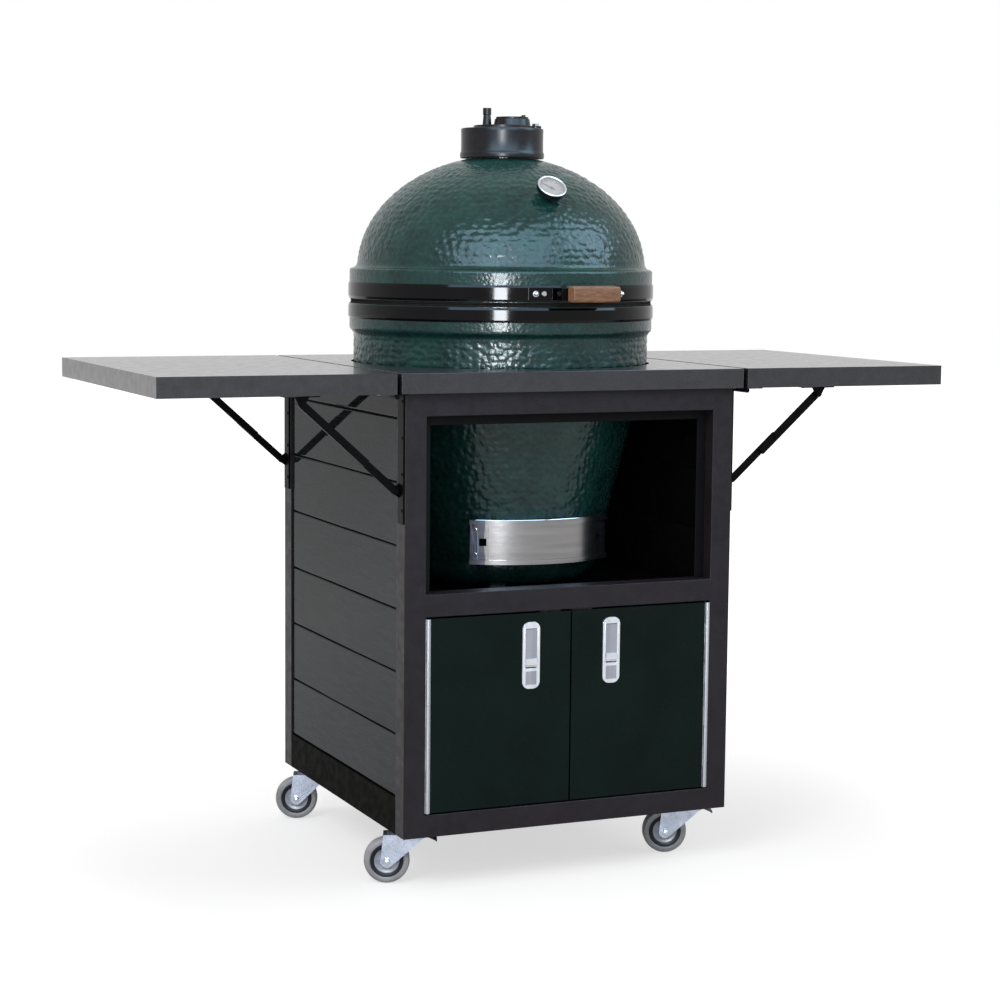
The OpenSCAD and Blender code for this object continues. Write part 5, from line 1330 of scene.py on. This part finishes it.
@dataclass
class Cabinet:
    """The coated frame, the tops, the doors with their latches, and the shelf braces."""

    latch_x: float = 75.5
    latch_top: float = 447.0
    latch_h: float = 114.2
    latch_half: float = 16.2
    cup_half: float = 12.4
    pull_drop: float = 60.0
    face_y: float = -337.5
    kick_top: float = 160.0
    bracket_top: float = 835.0
    hinge_x: float = 258.05
    rivet_x: float = 307.9

    def frame_parts(self) -> None:
        """Dress the frame, the window's surround and the shelves inside, with painted shade on the inside
        parts and a painted dark reflection of the ground on the side kick rails.
        """
        for node in ("front_frame", "rear_frame"):
            eased(node, 1.4, FINISHES.frame_coat, segments=3)
        # The side kick rails below kick_top take the painted dark reflection of the ground
        eased("side_rails", 1.4, FINISHES.frame_coat, segments=3,
              others=((FINISHES.shade, lambda centre: centre[:, 2] < self.kick_top),))
        # Painted shade: the window's surround and the shelves inside take the near-black coat
        for node in ("window_lip", "floor_panel", "grill_shelf"):
            eased(node, 0.6, FINISHES.liner)

    def tops(self) -> None:
        """Dress the centre top and the side shelves, and their hinges."""
        bracket = ((FINISHES.brace, lambda centre: centre[:, 2] < self.bracket_top),)
        eased("centre_top", 2.2, FINISHES.table, segments=3)
        for node in ("left_shelf", "right_shelf"):
            eased(node, 1.6, FINISHES.table, node, 3, bracket)
        eased("shelf_hinges", 0.3, FINISHES.brace)

    def doors(self) -> None:
        """Dress the doors: paint on the pans, bright steel on hinges and latches, and polished steel on each
        paddle's pull as a painted highlight.
        """
        for side, sign in (("left", -1), ("right", 1)):
            door, paddle = f"{side}_door", f"{side}_paddle"
            eased(door, 0.8, FINISHES.doors, door,
                  others=((FINISHES.latch, self.is_latch(sign)),
                          (FINISHES.steel, self.is_hinge(sign))))
            # The pull takes polished steel as a painted highlight
            eased(paddle, 0.7, FINISHES.field, paddle, 3, ((FINISHES.bright, self.is_highlit_pull),))
            self.latch_trim(side, sign)
        eased("door_hinges", 0.25, FINISHES.steel)

    def is_latch(self, sign: int) -> Test:
        """Give a test for faces of a door's latch, by the door's sign."""
        def test(centre: np.ndarray) -> np.ndarray:
            """Say which centres lie on the latch plate or in its cup."""
            x, y, z = centre.T
            aside, drop = np.abs(x - sign * self.latch_x), self.latch_top - z
            plate = (aside < self.latch_half) & (y < self.face_y + 2.4)
            cup = (aside < self.cup_half) & (y < self.face_y + 17)
            return (plate | cup) & (drop > -0.2) & (drop < self.latch_h)
        return test

    def is_highlit_pull(self, centre: np.ndarray) -> np.ndarray:
        """Say which face centres lie on a paddle's curved pull, which takes polished steel as a painted
        highlight.
        """
        return centre[:, 2] < self.latch_top - self.pull_drop

    def is_hinge(self, sign: int) -> Test:
        """Give a test for faces of a door's hinge leaf and knuckles, by the door's sign."""
        return lambda centre: centre[:, 0] * sign > self.hinge_x

    def latch_trim(self, side: str, sign: int) -> None:
        """Build the raised lips on both sides of a latch's window, and the pad below it.

        Each lip is a bar with rounded ends, lathed about its own length.

        Args:
            side: Left or right.
            sign: -1 on the left and 1 on the right.
        """
        shape = Shape()
        x = sign * self.latch_x
        top, low = self.latch_top - 10.2, self.latch_top - 81
        for edge in (-12.3, 12.3):
            shape.add_lathe([(0, 0), (0.75, 0.3), (0.9, 1.2), (0.9, top - low - 1.2),
                             (0.75, top - low - 0.3), (0, top - low)],
                            (x + edge, self.face_y + 0.15, low), UP, 12)
        shape.build(f"{side}_latch_lips", FINISHES.latch, f"{side}_door")
        pad = Shape()
        pad.add_block((x - 10.0, self.face_y - 0.3, self.latch_top - 107),
                      (x + 10.0, self.face_y + 0.6, self.latch_top - 84))
        pad.build(f"{side}_latch_pad", FINISHES.field, f"{side}_door")

    def braces(self) -> None:
        """Dress the brace rails and links, and add rivets along the rails and channels."""
        eased("brace_rails", 0.5, FINISHES.brace)
        rivets = {"cart": Shape(), "left_shelf": Shape(), "right_shelf": Shape()}
        dome = [(0, 0), (3.0, 0), (2.7, 0.8), (1.8, 1.4), (0, 1.6)]
        for sign, side in ((-1, "left"), (1, "right")):
            for end, y in (("front", FRONT_Y + 14), ("rear", BACK_Y - 19)):
                for part in ("lower", "upper"):
                    node = f"{end}_{side}_{part}_link"
                    eased(node, 0.6, FINISHES.brace, node)
                for z in (823.0, 763.0, 703.0, 643.0):
                    rivets["cart"].add_lathe(dome, (sign * self.rivet_x, y - 7.0, z), (sign, 0, 0),
                                             16)
                for x in (458.0, 504.0):
                    rivets[f"{side}_shelf"].add_lathe(dome, (sign * x, y + 7, 833.1), -UP, 16)
        for body, shape in rivets.items():
            shape.build(f"{body}_rivets", FINISHES.brace, body)

    def build(self) -> None:
        """Build every part of the cabinet."""
        self.frame_parts()
        self.tops()
        self.doors()
        self.braces()


# The casters


@dataclass
class Caster:
    """One swivel caster: plate and kingpin stay with the cart, fork and wheel turn.

    Its pieces are worked out at the swivel axis with the wheel trailing towards -X, and then
    turned and moved to their place.
    """

    end: str
    side: str
    wheel_r: float = 39.0
    wheel_w: float = 26.0
    side_in: float = 39.0
    end_in: float = 72.0
    trail: float = 38.0
    turn: float = 21.0
    pedal_x: float = 24.0
    pedal_z: float = 83.2
    pedal_l: float = 26.0
    pedal_slope: float = 24.0

    @property
    def place(self) -> np.ndarray:
        """The foot of the swivel axis on the floor."""
        x = (HALF_W - self.side_in) * (-1 if self.side == "left" else 1)
        y = FRONT_Y + self.end_in if self.end == "front" else BACK_Y - self.end_in
        return np.array([x, y, 0.0])

    @property
    def facing(self) -> np.ndarray:
        """The caster's own axes as columns, turned about Z."""
        turn = math.radians(-self.turn)
        return np.array([[math.cos(turn), -math.sin(turn), 0],
                         [math.sin(turn), math.cos(turn), 0], UP])

    @property
    def axle(self) -> np.ndarray:
        """The middle of the wheel's axle, from the foot of the swivel axis."""
        return np.array([-self.trail, 0.0, self.wheel_r])

    def put(self, shape: Shape, name: str, finish: Finish, body: str, sharp: float = 40.0,
            slot: str = "") -> bpy.types.Object:
        """Turn and move a shape from the swivel axis to the caster's place, and build it."""
        return shape.moved(self.facing, self.place).build(name, finish, body, sharp, slot)

    def wheel(self) -> None:
        """Build the tread, the dark guard ring and the dished hub of the wheel.

        Each is a closed profile lathed about the axle, and the hub has a ring of small bosses.
        """
        node = f"{self.end}_{self.side}_wheel"
        half, r = self.wheel_w / 2, self.wheel_r
        axis = (0, 1, 0)
        side = np.array([(28.0, half - 2), (28.8, half - 0.6), (30.4, half), (35.4, half),
                         (37.4, half - 1), (38.4, half - 3), (r, half - 7)])
        line = np.concatenate([side, [(r, 0.0)], side[::-1] * [1, -1]])
        tread = Shape().add_lathe(line, self.axle, axis, 72, closed=True)
        piece = self.put(tread, f"{node}_tread", FINISHES.tread, node, 60.0)
        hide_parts(node)
        guard = Shape()
        for s in (-1, 1):
            guard.add_lathe([(21.4, s * (half - 3.4)), (21.6, s * (half - 1.4)),
                             (22.6, s * (half - 0.7)), (27.4, s * (half - 0.7)),
                             (28.4, s * (half - 1.6)), (28.4, s * (half - 3.4))], self.axle, axis,
                            64, closed=True)
        self.put(guard, f"{node}_guard", FINISHES.guard, node)
        face = half - 2.0
        near = np.array([(4.2, half + 0.9), (8.6, half + 0.9), (9.6, half - 0.1),
                         (9.9, face - 0.6), (11.5, face - 1.4), (15, face - 1.7),
                         (19, face - 1.0), (21.4, face), (28.2, face - 1.2)])
        hub = Shape().add_lathe(np.concatenate([near, near[::-1] * [1, -1]]), self.axle, axis, 72,
                                closed=True)
        for s in (-1, 1):
            for number in range(6):
                way = number * math.pi / 3
                spot = self.axle + np.array([15.4 * math.cos(way), s * (face - 2.6),
                                             15.4 * math.sin(way)])
                hub.add_lathe([(0, 0), (2.0, 0), (2.0, 1.5), (1.5, 2.0), (0, 2.0)], spot,
                              (0, s, 0), 14)
        self.put(hub, f"{node}_hub", FINISHES.hub, node, 35.0)

    def fork(self) -> None:
        """Dress the fork, and add the bright bolt ends on its axle."""
        node = f"{self.end}_{self.side}_fork"
        eased(node, 0.6, FINISHES.zinc, node)
        bolt = Shape()
        for s in (-1, 1):
            bolt.add_lathe([(0, -0.4), (5.2, -0.4), *half_round(5.2, 2.2, 0, 7)],
                           self.axle + np.array([0, s * 21.4, 0]), (0, s, 0), 24)
        self.put(bolt, f"{node}_bolt", FINISHES.bright, node, slot="zinc")

    def pedal(self) -> None:
        """Build the brake pedal: a bent blade with three treads and a rolled lip.

        The blade is a strip whose height falls with its length and a little with its square,
        swept across its width with a rounded section.
        """
        node = f"{self.side}_pedal"
        slope = math.radians(self.pedal_slope)
        start, length = self.pedal_x - 2.6, self.pedal_l * math.cos(slope) + 2.0
        fall = self.pedal_l * math.sin(slope)
        share = np.linspace(0, 1, 22)[:, None]
        x = start + share * length
        z = self.pedal_z + 0.2 - fall * (0.7 * share + 0.3 * share ** 2)
        ring = rounded_ring(circle(28), 2 / 5)
        wide = 11.9 * (1 - 0.12 * share)
        thick = 1.5 + 0.9 * ramp(share, 0.8, 1.0)
        across_y, up_z = wide * ring[:, 0], z + thick * ring[:, 1]
        shape = Shape()
        shape.add_bar(np.stack([np.broadcast_to(x, across_y.shape), across_y, up_z], -1))
        for at in (8, 12, 16):
            shape.add_lathe([(0, -9), (0.9, -8.6), (0.9, 8.6), (0, 9)],
                            (x[at, 0], 0, z[at, 0] + 1.5), (0, 1, 0), 10)
        shape.add_lathe([(0, -17.3), (2, -17.3), (2, 17.3), (0, 17.3)],
                        (self.pedal_x, 0, self.pedal_z), (0, 1, 0), 20)
        piece = self.put(shape, f"{node}_moulded", FINISHES.pedal, node, 50.0)
        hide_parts(node)

    def build(self) -> None:
        """Build the caster's turning parts."""
        self.wheel()
        self.fork()
        if self.end == "front":
            self.pedal()


# The studio


@dataclass(frozen=True)
class Lamp:
    """One soft lamp: where it is, where it points, its size and its power."""

    name: str
    at: Triple
    aim: Triple
    size: tuple[float, float]
    power: float
    colour: Triple = (1.0, 1.0, 1.0)
    glossy: bool = True
    diffuse: bool = True

    def build(self) -> None:
        """Add the lamp to the scene, turned so that its -Z axis meets the aim."""
        data = bpy.data.lights.new(self.name, "AREA")
        data.shape = "RECTANGLE"
        data.size, data.size_y = self.size
        data.energy = self.power
        data.color = self.colour
        lamp = linked(self.name, data)
        lamp.visible_glossy = self.glossy
        lamp.visible_diffuse = self.diffuse
        axes = across(np.asarray(self.at) - np.asarray(self.aim))
        turn = Matrix(np.stack(axes, -1).tolist()).to_4x4()
        lamp.matrix_world = Matrix.Translation(self.at) @ turn


@dataclass
class Studio:
    """Camera, lamps, world and floor."""

    eye: Triple = (-1.6667, -3.7947, 1.0769)
    yaw: float = 0.4168
    pitch: float = 0.1108
    roll: float = 0.0096
    lens: float = 82.28
    lamps: tuple[Lamp, ...] = (
        Lamp("key", (-3.2, -2.6, 3.6), (0, 0, 0.8), (2.4, 2.4), 100.0, glossy=False),
        Lamp("fill", (3.6, -2.4, 2.6), (0, 0, 0.8), (2.2, 2.2), 36.0, glossy=False),
        Lamp("top", (0.2, 0.4, 4.2), (0, 0, 0.8), (2.6, 2.6), 45.0, glossy=False),
        Lamp("sky_left", (-4.1, -4.3, 3.9), (0, 0, 1.1), (3.6, 4.2), 380.0, SKY, diffuse=False),
        Lamp("sky", (-0.3, -5.2, 3.8), (0, 0, 1.1), (5.2, 4.2), 470.0, SKY, diffuse=False),
        Lamp("sky_right", (4.4, -3.2, 4.1), (0, 0, 1.1), (4.4, 3.4), 420.0, SKY, diffuse=False),
        Lamp("flash", (-1.75, -3.98, 1.05), (0, 0, 0.95), (0.7, 0.8), 145.0, (0.9, 0.95, 1.0),
             diffuse=False),
    )

    def camera(self) -> None:
        """Place the camera: yaw turns it from +Y to +X, pitch looks down, roll tips it."""
        yaw, pitch, roll = self.yaw, self.pitch, self.roll
        ahead = np.array([math.sin(yaw) * math.cos(pitch), math.cos(yaw) * math.cos(pitch),
                          -math.sin(pitch)])
        level = np.array([math.cos(yaw), -math.sin(yaw), 0.0])
        rise = np.cross(level, ahead)
        right = level * math.cos(roll) + rise * math.sin(roll)
        up = -level * math.sin(roll) + rise * math.cos(roll)
        data = bpy.data.cameras.new("photo_camera")
        data.lens = self.lens
        data.sensor_width = 36.0
        data.clip_end = 60.0
        camera = linked("photo_camera", data)
        turn = Matrix(np.stack([right, up, -ahead], -1).tolist()).to_4x4()
        camera.matrix_world = Matrix.Translation(self.eye) @ turn
        bpy.context.scene.camera = camera

    @staticmethod
    def seen_directly(wires: Wiring) -> Socket:
        """Tell rays from the camera, off gloss and through glass from the rest.

        Args:
            wires: The wiring of the material or world.

        Returns:
            A value of 1 for camera and transmission rays, a little less for glossy rays, else 0.
        """
        path = wires.add("LightPath", {}).outputs
        seen = wires.add("Math", {0: path["Is Camera Ray"], 1: path["Is Transmission Ray"]},
                         operation="MAXIMUM")
        soft = wires.add("Math", {0: path["Is Glossy Ray"], 1: 0.8}, operation="MULTIPLY")
        return wires.add("Math", {0: seen.outputs["Value"], 1: soft.outputs["Value"]},
                         operation="MAXIMUM").outputs["Value"]

    def world(self) -> None:
        """White where the camera, a reflection or glass sees it, and softer as a lamp."""
        world = bpy.data.worlds.new("studio_world")
        bpy.context.scene.world = world
        world.use_nodes = True
        wires = Wiring(world.node_tree)
        strength = wires.fit(self.seen_directly(wires), 0.0, 1.0, 0.5, 1.0)
        wires.feed(world.node_tree.nodes["Background"],
                   {"Strength": strength, "Color": (1.0, 1.0, 1.0, 1.0)})

    def floor(self) -> None:
        """Lay a plain pale floor that fades to the white background away from the object.

        The glow that only direct, glossy and transmitted rays see is the floor's shortfall from
        white near the object, and rises with the distance from it.
        """
        material, wires, shader = surface("studio_floor")
        away = wires.add("VectorMath", {0: wires.vector}, operation="LENGTH").outputs["Value"]
        glow = wires.fit(away, 0.7, 2.6, 0.62, 1.0)
        shown = wires.add("Math", {0: glow, 1: self.seen_directly(wires)}, operation="MULTIPLY")
        wires.feed(shader, {"Base Color": (0.5, 0.5, 0.5, 1.0), "Roughness": 0.9,
                            "Specular IOR Level": 0.0, "Emission Color": (1.0, 1.0, 1.0, 1.0),
                            "Emission Strength": shown.outputs["Value"]})
        mesh = bpy.data.meshes.new("studio_floor")
        mesh.from_pydata([(x, y, -0.0005) for x in (-14, 14) for y in (-14, 14)], [],
                         [(0, 2, 3, 1)])
        mesh.materials.append(material)
        plane = linked("studio_floor", mesh)

    def build(self) -> None:
        """Build the whole studio."""
        bpy.context.scene.view_settings.view_transform = "Standard"
        self.camera()
        self.world()
        self.floor()
        for lamp in self.lamps:
            lamp.build()


def main() -> None:
    """Build the studio and every sub-assembly."""
    logging.basicConfig(level=logging.INFO, format="%(name)s %(message)s")
    Studio().build()
    Grill().build()
    Cladding().build()
    Cabinet().build()
    eased("caster_plates", 0.5, FINISHES.zinc)
    for end in ("front", "rear"):
        for side in ("left", "right"):
            Caster(end, side).build()


if __name__ == "__main__":
    main()
